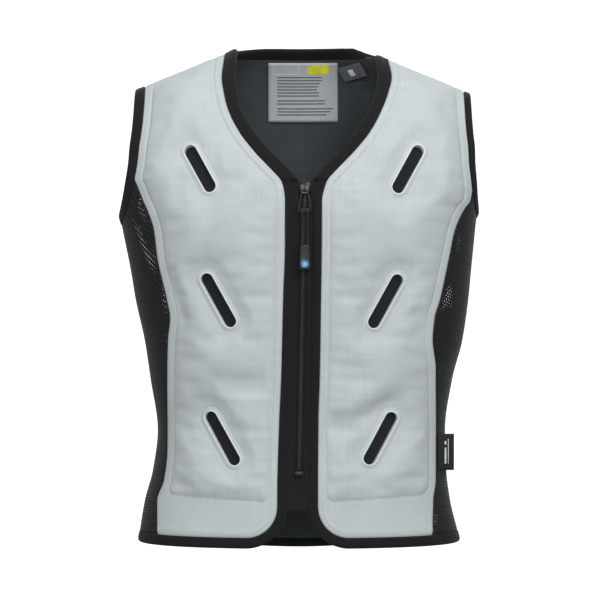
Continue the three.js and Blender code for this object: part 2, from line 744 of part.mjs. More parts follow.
// Hem binding under the side mesh and the back
function hemBinding() {
  const side = (name, order) => order.map((j) => {
    const share = j / MESH_COLUMNS;
    const z = hemTop() - GAP;
    const angle = meshAngle(name, share, hemTop());
    return [sidePoint(name, angle, z), sidePoint(name, angle, -BODY_LENGTH)];
  });
  const columns = Array.from({ length: MESH_COLUMNS + 1 }, (unused, j) => j);
  const back = backGrid()[0].slice(1, -1).map((p) => [
    sheetPoint(p.x, p.z - GAP, true), sheetPoint(p.x, p.z - HEM_BINDING, true)]);
  return strip([...side('left', columns), ...back, ...side('right', columns.reverse())]);
}

// Neck binding: up the left front, round the back of the neck and down the right front
function neckBinding() {
  const rows = frontRows().filter((row) => row >= 1);
  const front = (side) => rows.map((row) => {
    const edge = rowEnd(row, side, (s, z) => frontEdge(s, z) - 2 * GAP, -ZIP_TOP_DROP);
    const free = rowEnd(row, side, neckEdge, -ZIP_TOP_DROP);
    return [sheetPoint(edge.x, edge.z, false), sheetPoint(free.x, free.z, false)];
  });
  const back = [];
  for (let i = 1; i < BACK_NECK_COLUMNS; i += 1) {
    const x = neckColumn(i / BACK_NECK_COLUMNS);
    const side = x < 0 ? 'left' : 'right';
    const share = Math.abs(x) / NECK_HALF[side];
    const freeX = SIGN[side] * share * neckFree(side);
    const rise = lerp(NECK_BINDING, NECK_BINDING * NECK_TURN.keep, share ** NECK_TURN.width);
    const top = Math.min(backNeck(x) + rise, underRidge(freeX, share, NECK_SINK.free) - GAP);
    back.push([sheetPoint(x, backNeck(x) + 2 * GAP, true), sheetPoint(freeX, top, true)]);
  }
  return strip([...front('left'), ...back, ...front('right').reverse()]);
}

function armholeBinding(side) {
  const edge = armhole(side, ARMHOLE[side].binding);
  const free = armhole(side, 0);
  const pair = (share, back) => [edge.point(share, back), free.point(share, back)];
  const outer = armhole(side, ARMHOLE[side].binding + GAP);
  const shares = (rows) => [1, ...rows].map((row) => {
    return outer.shareOfHeight(rowEnd(row, side, panelEdge, SEAM_TOP[side]).z);
  });
  const under = [];
  for (let j = 1; j < MESH_COLUMNS; j += 1) {
    const angle = meshAngle(side, j / MESH_COLUMNS, meshTop(side, j / MESH_COLUMNS));
    under.push([outer.shareOfAngle(angle), angle < 0]);
  }
  const loop = [
    ...shares(shoulderRows()).reverse().map((share) => pair(share, false)),
    ...under.map(([share, back]) => pair(share, back)),
    ...shares(shoulderRows(NAPE_ROWS_BEND)).slice(0, -1).map((share) => pair(share, true)),
  ];
  return strip(loop, true);
}

// Zip

function zipX(z) {
  return ZIP_TOP_X + (z + ZIP_TOP_DROP) * ZIP_LEAN;
}

function zipHeights(top, bottom) {
  const count = BODY_ROWS - 1;
  return Array.from({ length: count + 1 }, (unused, i) => lerp(top, bottom, i / count));
}

function zipTape(side) {
  const grid = zipHeights(-ZIP_TOP_DROP - GAP, -TAPE_BOTTOM_DROP).map((z) => {
    const binding = SIGN[side] * (straightEdge(side, z) - FRONT_BINDING - 2.6 * GAP);
    const middle = zipX(z) + (SIGN[side] * GAP) / 2;
    return [0, 1 / 2, 1].map((share) => sheetPoint(lerp(binding, middle, share), z, false));
  });
  return cloth(grid, -TAPE_SUNK, -TAPE_SUNK - TAPE_WALL);
}

function chainFace() {
  return GAP - TAPE_SUNK + CHAIN_THICK;
}

function zipChain() {
  const grid = zipHeights(-ZIP_TOP_DROP - GAP, -CHAIN_BOTTOM_DROP).map((z) => {
    return [-1 / 2, 0, 1 / 2].map((share) => sheetPoint(zipX(z) + share * CHAIN_WIDTH, z, false));
  });
  const face = (p, i, j) => (j === 1 ? chainFace() : chainFace() - CHAIN_THICK / 4);
  return cloth(grid, face, GAP - TAPE_SUNK);
}

// Frame on the zip at a height: x across, y along the zip upwards, z out of the vest
function zipFrame(z) {
  const at = sheetPoint(zipX(z), z, false);
  const above = sheetPoint(zipX(z + 1), z + 1, false);
  const up = above.sub(at).normalize();
  const out = normalAt(at);
  const across = up.clone().cross(out).normalize();
  return new THREE.Matrix4().makeBasis(across, up, out).setPosition(at);
}

// Plate with rounded corners, its lower face at a given height
function plate(width, height, thick, corner, bottom) {
  const shape = new THREE.Shape();
  const x = width / 2 - corner;
  const y = height / 2 - corner;
  shape.absarc(x, y, corner, 0, Math.PI / 2, false);
  shape.absarc(-x, y, corner, Math.PI / 2, Math.PI, false);
  shape.absarc(-x, -y, corner, Math.PI, 1.5 * Math.PI, false);
  shape.absarc(x, -y, corner, 1.5 * Math.PI, 2 * Math.PI, false);
  const geometry = new THREE.ExtrudeGeometry(shape, { depth: thick, bevelEnabled: false, curveSegments: 3 });
  return geometry.translate(0, 0, bottom);
}

function block(width, height, thick, x, y, bottom) {
  return new THREE.BoxGeometry(width, height, thick).translate(x, y, bottom + thick / 2);
}

const SLIDER_DROP = ZIP_TOP_DROP + SLIDER_HEIGHT / 2 + 1;

// Height of the link's wire above the body surface
function linkHeight() {
  return chainFace() + GAP + SLIDER_PLATE + LINK_PLAY + LINK_WIRE / 2;
}

// Slider body: a plate over the chain, a rail at each side, and the bridge that holds the link
function zipSlider() {
  const floor = chainFace() + GAP;
  const rail = (SLIDER_WIDTH - CHAIN_WIDTH) / 2 - GAP;
  const top = floor + SLIDER_PLATE;
  const clear = LINK_WIRE + 2 * LINK_PLAY;
  let body = solid(plate(SLIDER_WIDTH, SLIDER_HEIGHT, SLIDER_PLATE, 3, floor));
  for (const sign of [-1, 1]) {
    const x = sign * (SLIDER_WIDTH - rail) / 2;
    const bottom = GAP - TAPE_SUNK;
    body = body.add(solid(block(rail, SLIDER_HEIGHT - 6, floor - bottom + 1, x, 0, bottom)));
    const y = sign * (BRIDGE_LENGTH - BRIDGE_BAR) / 2;
    body = body.add(solid(block(BRIDGE_WIDTH, BRIDGE_BAR, clear + BRIDGE_BAR + 1, 0, y, top - 1)));
  }
  body = body.add(solid(block(BRIDGE_WIDTH, BRIDGE_LENGTH, BRIDGE_BAR, 0, 0, top + clear)));
  return fromSolid(body).applyMatrix4(zipFrame(-SLIDER_DROP));
}

function bottomStop() {
  const geometry = plate(STOP_WIDTH, STOP_HEIGHT, STOP_THICK, 1, GAP - TAPE_SUNK);
  return geometry.applyMatrix4(zipFrame(-CHAIN_BOTTOM_DROP - GAP - STOP_HEIGHT / 2));
}

// Pull: its own frame has the hinge at the origin, y up along the pull and z out of the vest

function tube(points, thick, sides, closed = false) {
  const path = new THREE.CatmullRomCurve3(points, closed);
  const ring = Array.from({ length: sides }, (unused, i) => {
    const turn = (2 * Math.PI * i) / sides;
    return new THREE.Vector2((thick / 2) * Math.cos(turn), (thick / 2) * Math.sin(turn));
  });
  const steps = Math.round(path.getLength() / (1.3 * thick));
  const frames = path.computeFrenetFrames(steps, closed);
  const rows = closed ? steps : steps + 1;
  const points3 = [];
  for (let i = 0; i < rows; i += 1) {
    const centre = path.getPointAt(i / steps);
    for (const at of ring) {
      points3.push(centre.clone().addScaledVector(frames.normals[i], at.x)
        .addScaledVector(frames.binormals[i], at.y));
    }
  }
  const faces = [];
  for (let i = 0; i < steps; i += 1) {
    for (let j = 0; j < sides; j += 1) {
      const next = (j + 1) % sides;
      const [a, b] = [(i % rows) * sides, ((i + 1) % rows) * sides];
      faces.push(a + j, a + next, b + next, a + j, b + next, b + j);
    }
  }
  for (let j = 1; j < sides - 1 && !closed; j += 1) {
    const end = steps * sides;
    faces.push(0, j + 1, j, end, end + j, end + j + 1);
  }
  return facingOut(points3, faces);
}

function pullLink() {
  const top = LINK_TOP / 2;
  const bottom = LINK_BOTTOM / 2;
  const corners = [[-top, 0], [top, 0], [bottom, -LINK_HEIGHT], [-bottom, -LINK_HEIGHT]];
  const points = corners.flatMap(([x, y], i) => {
    const [before, after] = [corners[(i + 3) % 4], corners[(i + 1) % 4]];
    return [before, after].map(([px, py]) => {
      const length = Math.hypot(px - x, py - y);
      const near = Math.min(LINK_CORNER, length / 3) / length;
      return new THREE.Vector3(lerp(x, px, near), lerp(y, py, near), 0);
    });
  });
  const even = points.flatMap((point, i) => {
    return [point, point.clone().lerp(points[(i + 1) % points.length], 0.5)];
  });
  return tube(even, LINK_WIRE, 6, true);
}

// Cord looped behind the link's lower bar, with both ends in the grip
function pullCord() {
  const x = CORD_SPACING / 2;
  const bar = -LINK_HEIGHT;
  const away = (LINK_WIRE + CORD_THICK) / 2 + CORD_PLAY;
  const side = (sign) => [
    [sign * x, bar - CORD_DROP, -GRIP_FALL], [sign * x, bar - CORD_DROP * 0.6, -GRIP_FALL * 0.7],
    [sign * x, bar - CORD_DROP / 5, away / 3], [sign * x, bar, away], [sign * x * 0.9, bar + away, 0],
  ];
  const route = [...side(-1), [-x * 0.55, bar + away / 3, -away], [x * 0.55, bar + away / 3, -away],
    ...side(1).reverse()];
  return tube(route.map(([px, py, pz]) => new THREE.Vector3(px, py, pz)), CORD_THICK, 6);
}

function gripTop() {
  return -LINK_HEIGHT - CORD_DROP - GAP;
}

function pullGrip() {
  const shape = new THREE.Shape();
  const corner = 3;
  const [top, bottom] = [GRIP_TOP / 2 - corner, GRIP_BOTTOM / 2 - corner];
  shape.absarc(top, gripTop() - corner, corner, 0, Math.PI / 2, false);
  shape.absarc(-top, gripTop() - corner, corner, Math.PI / 2, Math.PI, false);
  shape.absarc(-bottom, gripTop() - GRIP_LENGTH + corner, corner, Math.PI, 1.5 * Math.PI, false);
  shape.absarc(bottom, gripTop() - GRIP_LENGTH + corner, corner, 1.5 * Math.PI, 2 * Math.PI, false);
  const bevel = 0.8;
  return new THREE.ExtrudeGeometry(shape, {
    depth: GRIP_THICK - 2 * bevel, bevelEnabled: true, bevelThickness: bevel, bevelSize: bevel,
    bevelOffset: -bevel, bevelSegments: 1, curveSegments: 3,
  }).translate(0, 0, bevel - GRIP_THICK / 2 - GRIP_FALL);
}

function pullButton() {
  const geometry = new THREE.CylinderGeometry(BUTTON_WIDTH / 2, BUTTON_WIDTH / 2, BUTTON_THICK, 16);
  geometry.rotateX(Math.PI / 2);
  const y = gripTop() - GRIP_LENGTH + BUTTON_WIDTH / 2 + 2;
  return geometry.translate(0, y, (GRIP_THICK + BUTTON_THICK) / 2 + CORD_PLAY - GRIP_FALL);
}

// Place of the pull: upright, leaning out a little so that it lies on the zip
function pullFrame() {
  const down = BRIDGE_LENGTH / 2 - BRIDGE_BAR - LINK_WIRE / 2 - LINK_PLAY;
  const hinge = new THREE.Vector3(0, -down, linkHeight()).applyMatrix4(zipFrame(-SLIDER_DROP));
  const turn = new THREE.Matrix4().makeRotationX(Math.PI / 2 - degrees(PULL_LEAN));
  return turn.setPosition(hinge);
}

// Labels

function neckLabel() {
  const face = -PANEL_WALL - LINING_SPACE - LINING_WALL - LABEL_HANG;
  const rows = 4;
  const grid = Array.from({ length: rows + 1 }, (unused, i) => {
    return Array.from({ length: rows + 1 }, (none, j) => {
      const x = LABEL_SHIFT + LABEL_WIDTH * (j / rows - 1 / 2);
      return sheetPoint(x, backNeck(LABEL_SHIFT) - 1 - LABEL_HEIGHT * (1 - i / rows), true);
    });
  });
  return cloth(grid, face, face - LABEL_WALL);
}

// Flat tag hanging inside the neck
function sizeTag() {
  const middle = sheetPoint(SIZE_TAG_X, backNeck(SIZE_TAG_X) - SIZE_TAG_HEIGHT / 2, true);
  const out = normalAt(middle);
  const across = out.clone().cross(new THREE.Vector3(0, 0, 1)).normalize();
  across.applyAxisAngle(out, -degrees(SIZE_TAG_TURN));
  const inward = out.clone().negate();
  const place = new THREE.Matrix4().makeBasis(across, inward.clone().cross(across), inward);
  place.setPosition(middle.addScaledVector(inward, BINDING_WALL - BINDING_PROUD + SIZE_TAG_HANG));
  return new THREE.BoxGeometry(SIZE_TAG_WIDTH, SIZE_TAG_HEIGHT, LABEL_WALL).applyMatrix4(place);
}

// Tag caught in the right side seam, standing out past the mesh
function sideTag() {
  const z = -SIDE_TAG_DROP - SIDE_TAG_HEIGHT / 2;
  const seam = sheetPoint(seamEdge('right', z) + GAP, z, false);
  return new THREE.BoxGeometry(SIDE_TAG_WIDTH, LABEL_WALL, SIDE_TAG_HEIGHT)
    .translate(seam.x + SIDE_TAG_WIDTH / 2 + GAP, seam.y - LABEL_WALL - 3 * GAP, z);
}

// Assembly

function paint(color, roughness, metalness = 0) {
  return new THREE.MeshStandardMaterial({ color, roughness, metalness });
}

const GREY_CLOTH = paint(0xbfc6c9, 0.85);
const BLACK_CLOTH = paint(0x1d1f20, 0.9);
const DARK_LINING = paint(0x32373a, 0.9);
const BLACK_PLASTIC = paint(0x141516, 0.45);
const DARK_METAL = paint(0x2a2c2e, 0.35, 0.8);
const RUBBER = paint(0x161718, 0.7);
const BLUE_PLASTIC = paint(0x3f9fd0, 0.4);
const LABEL_CLOTH = paint(0x94999c, 0.8);

const vest = new THREE.Group();

function add(name, geometry, material, group = vest) {
  const mesh = new THREE.Mesh(geometry, material);
  mesh.name = name;
  group.add(mesh);
}

for (const side of SIDES) {
  add(`front_panel_${side}`, frontPanel(side), GREY_CLOTH);
  add(`front_lining_${side}`, frontLining(side), BLACK_CLOTH);
  add(`side_mesh_${side}`, sideMesh(side), BLACK_CLOTH);
  add(`front_binding_${side}`, frontBinding(side), BLACK_CLOTH);
  add(`armhole_binding_${side}`, armholeBinding(side), BLACK_CLOTH);
  add(`zip_tape_${side}`, zipTape(side), BLACK_CLOTH);
}
add('back_panel', backPanel(), GREY_CLOTH);
add('back_lining', backLining(), DARK_LINING);
add('neck_binding', neckBinding(), BLACK_CLOTH);
add('hem_binding', hemBinding(), BLACK_CLOTH);
add('zip_chain', zipChain(), BLACK_PLASTIC);
add('zip_slider', zipSlider(), DARK_METAL);
add('zip_bottom_stop', bottomStop(), BLACK_PLASTIC);
add('neck_label', neckLabel(), LABEL_CLOTH);
add('size_tag', sizeTag(), DARK_LINING);
add('side_tag', sideTag(), BLACK_CLOTH);

const pull = new THREE.Group();
pull.applyMatrix4(pullFrame());
vest.add(pull);
add('pull_link', pullLink(), DARK_METAL, pull);
add('pull_cord', pullCord(), BLACK_CLOTH, pull);
add('pull_grip', pullGrip(), RUBBER, pull);
add('pull_button', pullButton(), BLUE_PLASTIC, pull);

export default vest;
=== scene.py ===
import json
import math

import bmesh
import bpy
import numpy as np
from mathutils import Matrix, Vector


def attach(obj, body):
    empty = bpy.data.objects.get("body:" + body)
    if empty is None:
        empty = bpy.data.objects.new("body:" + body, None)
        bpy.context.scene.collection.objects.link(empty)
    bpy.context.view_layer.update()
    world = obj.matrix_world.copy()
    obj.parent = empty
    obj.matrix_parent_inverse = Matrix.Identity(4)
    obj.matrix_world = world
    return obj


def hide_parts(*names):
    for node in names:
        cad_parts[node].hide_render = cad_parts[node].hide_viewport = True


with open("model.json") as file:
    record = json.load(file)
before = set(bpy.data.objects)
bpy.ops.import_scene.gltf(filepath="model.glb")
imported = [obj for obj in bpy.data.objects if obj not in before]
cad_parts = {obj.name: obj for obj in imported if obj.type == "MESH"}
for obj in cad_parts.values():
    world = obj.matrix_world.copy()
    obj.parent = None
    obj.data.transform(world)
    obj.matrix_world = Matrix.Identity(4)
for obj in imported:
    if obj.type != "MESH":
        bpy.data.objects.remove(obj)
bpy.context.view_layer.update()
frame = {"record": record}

MM = 0.001

# Overall size of the worn vest
HALF_WIDTH = 214 * MM
BODY_LENGTH = 575 * MM
FRONT_DEPTH = 118 * MM
BACK_DEPTH = 112 * MM
CHEST_DROP = 190 * MM
SECTION_POWER = 2.3
SHOULDER_BEND = 1.6
SHOULDER_ROUND = {"front": 0.65, "back": 0.5, "nape": 0.35}
NAPE_SHARE = (0.3, 0.85)
NECK_TURN = {"sink": 3, "width": 4, "keep": 0.56}
NECK_SINK = {"edge": 6 * MM, "free": 2.4 * MM}
BACK_HEM_DROP = 18 * MM

# Cloth thickness, from the outer face inwards
GAP = 0.5 * MM
TUCK = 3 * MM
PANEL_WALL = 3 * MM
LINING_WALL = 1.2 * MM
LINING_SPACE = 0.7 * MM
MESH_WALL = 1.0 * MM
BINDING_PROUD = 0.8 * MM
BINDING_WALL = 6 * MM
PAD_RISE = 3.2 * MM
PAD_HEM = 45 * MM

# Bound edges
FRONT_BINDING = 10.5 * MM
HEM_BINDING = 12.5 * MM
NECK_BINDING = 12.5 * MM
HEM_CORNER = 36 * MM

# Slots through the front panels
SLOT_LENGTH = 70 * MM
SLOT_WIDTH = 15 * MM
SLOT_TILT = math.radians(29)
SLOT_RIM = 5.5 * MM

# Zip
ZIP_TOP_DROP = 149 * MM
ZIP_TOP_X = 6.9 * MM
ZIP_LEAN = 0.0203
TAPE_BOTTOM_DROP = 533 * MM
CHAIN_BOTTOM_DROP = 485 * MM
CHAIN_WIDTH = 8.2 * MM
CHAIN_THICK = 2.6 * MM
TAPE_WALL = 1.2 * MM
TAPE_SUNK = 1 * MM
SLIDER_WIDTH = 14.5 * MM
SLIDER_HEIGHT = 16 * MM
SLIDER_PLATE = 2 * MM
BRIDGE_WIDTH = 2.4 * MM
BRIDGE_LENGTH = 12.4 * MM
BRIDGE_BAR = 1.8 * MM
LINK_WIRE = 1.6 * MM
LINK_PLAY = 0.5 * MM
LINK_TOP = 6 * MM
LINK_BOTTOM = 15 * MM
LINK_HEIGHT = 25 * MM
CORD_THICK = 2 * MM
CORD_SPACING = 6 * MM
CORD_DROP = 38 * MM
CORD_PLAY = 0.3 * MM
GRIP_FALL = 3.4 * MM
GRIP_LENGTH = 29 * MM
GRIP_TOP = 10.4 * MM
GRIP_BOTTOM = 12.8 * MM
GRIP_THICK = 4.6 * MM
BUTTON_WIDTH = 9.4 * MM
PULL_LEAN = math.radians(5.2)
SLIDER_DROP = ZIP_TOP_DROP + SLIDER_HEIGHT / 2 + 1 * MM

# Level sections of the body. Drop is a share of BODY_LENGTH, left and right of HALF_WIDTH,
# front of FRONT_DEPTH and back of BACK_DEPTH.
SECTION_COLUMNS = ("drop", "left", "right", "front", "back")
SECTIONS = [
    (-0.14, 1.10, 1.09, 1.0, 1.0),
    (0.174, 1.10, 1.09, 1.0, 1.0),
    (0.226, 1.08, 1.07, 1.0, 1.0),
    (0.261, 1.06, 1.05, 1.0, 1.0),
    (0.296, 1.03, 1.02, 1.0, 1.0),
    (0.332, 1.00, 0.993, 1.0, 1.0),
    (0.374, 0.976, 0.981, 0.995, 0.998),
    (0.437, 0.942, 0.964, 0.985, 0.99),
    (0.499, 0.914, 0.948, 0.965, 0.975),
    (0.583, 0.864, 0.915, 0.94, 0.95),
    (0.666, 0.830, 0.857, 0.92, 0.91),
    (0.770, 0.791, 0.818, 0.90, 0.87),
    (0.854, 0.819, 0.825, 0.905, 0.875),
    (0.917, 0.864, 0.847, 0.925, 0.90),
    (1.0, 0.897, 0.897, 0.95, 0.93),
    (1.07, 0.91, 0.91, 0.96, 0.95),
]

# Height of the shoulder ridge: across is a share of HALF_WIDTH, rise of BODY_LENGTH
RIDGE_COLUMNS = ("across", "rise")
RIDGE = [
    (0, 0.061), (0.14, 0.056), (0.28, 0.039), (0.355, 0.024), (0.43, 0.0115), (0.505, 0.001),
    (0.631, -0.0185), (0.776, -0.040), (0.907, -0.061), (0.963, -0.071), (1.12, -0.096),
]

# Front edge and neckline of each grey panel, from the middle, as shares of HALF_WIDTH
EDGE_COLUMNS = ("drop", "left", "right")
FRONT_EDGE = [
    (-0.03, 0.418, 0.492), (-0.004, 0.422, 0.502), (0.036, 0.431, 0.517), (0.070, 0.418, 0.496),
    (0.108, 0.392, 0.458), (0.155, 0.332, 0.392), (0.197, 0.249, 0.304), (0.238, 0.146, 0.200),
    (0.2591, 0.097, 0.152), (0.279, 0.081, 0.134), (0.299, 0.0755, 0.124), (0.38, 0.0755, 0.123),
    (0.499, 0.086, 0.119), (0.661, 0.097, 0.112), (0.748, 0.108, 0.1045), (0.90, 0.1185, 0.103),
    (1.07, 0.1185, 0.103),
]

# Free edge of the neck binding on the front, as shares of HALF_WIDTH
NECK_EDGE = [
    (-0.03, 0.350, 0.424), (0.035, 0.353, 0.438), (0.063, 0.345, 0.428), (0.107, 0.322, 0.388),
    (0.164, 0.233, 0.298), (0.2075, 0.131, 0.196), (0.238, 0.048, 0.115), (0.2591, 0.002, 0.074),
]

# Back neckline under the binding: across is a share of the neck's half width
BACK_NECK = [(0, 0.0133), (0.5, 0.0135), (0.8, 0.0125), (1, 0.012)]

# Seam between the grey panels and the side mesh, as shares of HALF_WIDTH
SIDE_SEAM = [
    (0.235, 0.93, 0.985), (0.275, 0.882, 0.960), (0.296, 0.860, 0.951), (0.316, 0.836, 0.913),
    (0.357, 0.798, 0.862), (0.417, 0.776, 0.827), (0.499, 0.727, 0.776), (0.536, 0.710, 0.745),
    (0.581, 0.724, 0.734), (0.642, 0.730, 0.755), (0.807, 0.728, 0.762), (0.868, 0.749, 0.759),
    (0.910, 0.788, 0.743), (1.0, 0.780, 0.740),
]

# Armholes: tip is the half width over the shoulder as a share of HALF_WIDTH, bottom the
# armpit's drop as a share of BODY_LENGTH
ARMHOLE = {
    "left": {"tip": 0.9206, "bottom": 0.3235, "binding": 12 * MM},
    "right": {"tip": 0.9626, "bottom": 0.3148, "binding": 8 * MM},
}
ARMHOLE_BEND = 3

# Slots: across is a share of HALF_WIDTH, drop of BODY_LENGTH, length of SLOT_LENGTH
SLOTS = [
    {"side": "left", "across": 0.535, "drop": 0.235, "length": 0.88},
    {"side": "left", "across": 0.434, "drop": 0.500, "length": 1},
    {"side": "left", "across": 0.413, "drop": 0.779, "length": 1},
    {"side": "right", "across": 0.590, "drop": 0.236, "length": 0.9},
    {"side": "right", "across": 0.467, "drop": 0.502, "length": 1},
    {"side": "right", "across": 0.440, "drop": 0.779, "length": 0.97},
]

# Folds pressed into the front panels, each a groove between two points: x is a share of
# HALF_WIDTH and d of BODY_LENGTH, width and depth are in millimetres
FOLDS = [
    {"side": "left", "x1": 0.64, "d1": 0.755, "x2": 0.47, "d2": 0.672, "width": 13, "deep": 2.6},
    {"side": "left", "x1": 0.45, "d1": 0.662, "x2": 0.22, "d2": 0.670, "width": 13, "deep": 2.4},
    {"side": "left", "x1": 0.70, "d1": 0.468, "x2": 0.63, "d2": 0.540, "width": 10, "deep": 2},
    {"side": "right", "x1": 0.18, "d1": 0.750, "x2": 0.40, "d2": 0.733, "width": 13, "deep": 2.4},
    {"side": "right", "x1": 0.40, "d1": 0.730, "x2": 0.53, "d2": 0.690, "width": 13, "deep": 2.4},
    {"side": "right", "x1": 0.62, "d1": 0.530, "x2": 0.73, "d2": 0.590, "width": 11, "deep": 2.2},
]

SIGN = {"left": -1, "right": 1}
SIDES = ("left", "right")
SEARCH_STEPS = 40
ROW_SEARCH = 0.6
MESH_SEARCH = 0.5
NORMAL_STEP = 0.05 * MM
RIDGE_REACH = 0.3 * MM
GIRTH_SHARE = 0.8955
GIRTH_STEPS = 200
WAIST_DROP = 0.6


# Camera, level with the vest's middle and straight in front of it

CAMERA_AWAY = 3.0
CAMERA_HEIGHT = -0.286
VIEW_WIDTH = 0.7176
SENSOR = 36


def add_object(name, data):
    piece = bpy.data.objects.new(name, data)
    bpy.context.scene.collection.objects.link(piece)
    return piece


def add_camera():
    camera = bpy.data.cameras.new("camera")
    camera.sensor_width = SENSOR
    camera.lens = SENSOR * CAMERA_AWAY / VIEW_WIDTH
    piece = add_object("camera", camera)
    piece.location = (0, -CAMERA_AWAY, CAMERA_HEIGHT)
    piece.rotation_euler = (math.pi / 2, 0, 0)
    bpy.context.scene.camera = piece


# Curves through the tables


def curve(rows, columns, column):
    """Smooth curve through one column against the first, without overshoot between rows."""
    x = np.array([row[0] for row in rows], float)
    y = np.array([row[columns.index(column)] for row in rows], float)
    slope = np.diff(y) / np.diff(x)
    before = np.concatenate([slope[:1], slope])
    after = np.concatenate([slope, slope[-1:]])
    same_way = before * after > 0
    tangent = np.where(same_way, 2 * before * after / np.where(same_way, before + after, 1), 0)

    def at(value):
        v = np.clip(value, x[0], x[-1])
        k = np.clip(np.searchsorted(x, v, side="right") - 1, 0, len(x) - 2)
        span = x[k + 1] - x[k]
        t = (v - x[k]) / span
        u = 1 - t
        start = y[k] * (1 + 2 * t) * u * u + tangent[k] * span * t * u * u
        return start + y[k + 1] * t * t * (3 - 2 * t) - tangent[k + 1] * span * t * t * u

    return at


SECTION = {name: curve(SECTIONS, SECTION_COLUMNS, name) for name in SECTION_COLUMNS[1:]}
RIDGE_RISE = curve(RIDGE, RIDGE_COLUMNS, "rise")
BACK_NECK_RISE = curve(BACK_NECK, RIDGE_COLUMNS, "rise")
FRONT_EDGE_SHARE = {side: curve(FRONT_EDGE, EDGE_COLUMNS, side) for side in SIDES}
NECK_EDGE_SHARE = {side: curve(NECK_EDGE, EDGE_COLUMNS, side) for side in SIDES}
SEAM_SHARE = {side: curve(SIDE_SEAM, EDGE_COLUMNS, side) for side in SIDES}
HEM_TOP = HEM_BINDING - BODY_LENGTH
CORNER_Z = HEM_TOP + HEM_CORNER
FRONT_RUN = -ZIP_TOP_DROP - HEM_TOP
CORNER_ROW = HEM_CORNER / FRONT_RUN


def lerp(a, b, share):
    return a + (b - a) * share


def smoothstep(value, low, high):
    t = np.clip((value - low) / (high - low), 0, 1)
    return t * t * (3 - 2 * t)


def bell(distance, width):
    return np.exp(-((distance / width) ** 2))


def unit(vectors):
    return vectors / np.linalg.norm(vectors, axis=-1, keepdims=True)


def distances(line):
    """How far along a line of points each of them lies."""
    return np.concatenate([[0], np.cumsum(np.linalg.norm(np.diff(line, axis=0), axis=1))])


def by_side(x, left, right):
    return np.where(np.asarray(x) < 0, left, right)


# Body surface


def half_width(x, z):
    drop = -z / BODY_LENGTH
    return HALF_WIDTH * by_side(x, SECTION["left"](drop), SECTION["right"](drop))


def ridge(x):
    return BODY_LENGTH * RIDGE_RISE(np.abs(x) / HALF_WIDTH)


def middle_depth(x, z, back):
    """Depth of the body at its middle, pinched in towards the shoulder ridge."""
    drop = -z / BODY_LENGTH
    depth = np.where(back, BACK_DEPTH * SECTION["back"](drop), FRONT_DEPTH * SECTION["front"](drop))
    climb = np.clip((z + CHEST_DROP) / (ridge(x) + CHEST_DROP), 0, 1)
    nape = smoothstep(np.abs(x) / HALF_WIDTH, *NAPE_SHARE)
    behind = lerp(SHOULDER_ROUND["nape"], SHOULDER_ROUND["back"], nape)
    power = np.where(back, behind, SHOULDER_ROUND["front"])
    return depth * (1 - climb**SHOULDER_BEND) ** power


def sheet_point(x, z, back):
    """Point on the front or back of the body at a place of the front view."""
    x, z = np.broadcast_arrays(np.asarray(x, float), np.asarray(z, float))
    share = np.minimum(1, np.abs(x) / half_width(x, z))
    y = middle_depth(x, z, back) * (1 - share**SECTION_POWER) ** (1 / SECTION_POWER)
    return np.stack([x, y if back else -y, z], axis=-1)


def side_point(side, angle, z):
    """Point on the body's side: the angle is positive in front, 0 at the side, negative behind."""
    angle, z = np.broadcast_arrays(np.asarray(angle, float), np.asarray(z, float))
    x = SIGN[side] * half_width(SIGN[side], z) * np.cos(angle) ** (2 / SECTION_POWER)
    y = middle_depth(x, z, angle < 0) * np.abs(np.sin(angle)) ** (2 / SECTION_POWER)
    return np.stack([x, np.where(angle < 0, y, -y), z], axis=-1)


def side_angle(side, x, z):
    share = np.minimum(1, np.abs(x) / half_width(SIGN[side], z))
    return np.arccos(share ** (SECTION_POWER / 2))


def outside(p):
    """How far points lie outside the body, as a number whose gradient is the outward normal."""
    x, y, z = p[..., 0], p[..., 1], p[..., 2]
    wide = np.abs(x) / half_width(x, z)
    deep = np.abs(y) / np.maximum(1e-9, middle_depth(x, z, y > 0))
    return wide**SECTION_POWER + deep**SECTION_POWER


def normals(p):
    """Outward unit vectors, square to the shoulder ridge for points on it."""
    slope = [outside(p + NORMAL_STEP * axis) - outside(p - NORMAL_STEP * axis) for axis in np.eye(3)]
    x, z = p[..., 0], p[..., 2]
    rise = (ridge(x + NORMAL_STEP) - ridge(x - NORMAL_STEP)) / (2 * NORMAL_STEP)
    top = np.stack([-rise, np.zeros_like(rise), np.ones_like(rise)], axis=-1)
    on_ridge = ridge(x) - z < RIDGE_REACH
    return np.where(on_ridge[..., None], unit(top), unit(np.stack(slope, axis=-1)))


def offset(p, height):
    return p + normals(p) * np.asarray(height)[..., None]


def unrolled(x):
    """Distance along the body's girth from the middle, for weave and seams that follow it."""
    across = np.linspace(0, GIRTH_SHARE * HALF_WIDTH, GIRTH_STEPS)
    waist = sheet_point(across, -WAIST_DROP * BODY_LENGTH, False)
    return np.sign(x) * np.interp(np.abs(x), across, distances(waist))


def cloth_uv(x, z):
    return np.stack([unrolled(x), z], axis=-1)


# Edges of the pieces in the front view. Each gives the distance from the middle at a height.


def straight_edge(side, z):
    return HALF_WIDTH * FRONT_EDGE_SHARE[side](-z / BODY_LENGTH)


def front_edge(side, z):
    reach = np.sqrt(np.maximum(0, HEM_CORNER**2 - np.minimum(z - CORNER_Z, 0) ** 2))
    return straight_edge(side, z) + HEM_CORNER - reach


def neck_edge(side, z):
    return HALF_WIDTH * NECK_EDGE_SHARE[side](-z / BODY_LENGTH)


def seam_edge(side, z):
    return HALF_WIDTH * SEAM_SHARE[side](-z / BODY_LENGTH)


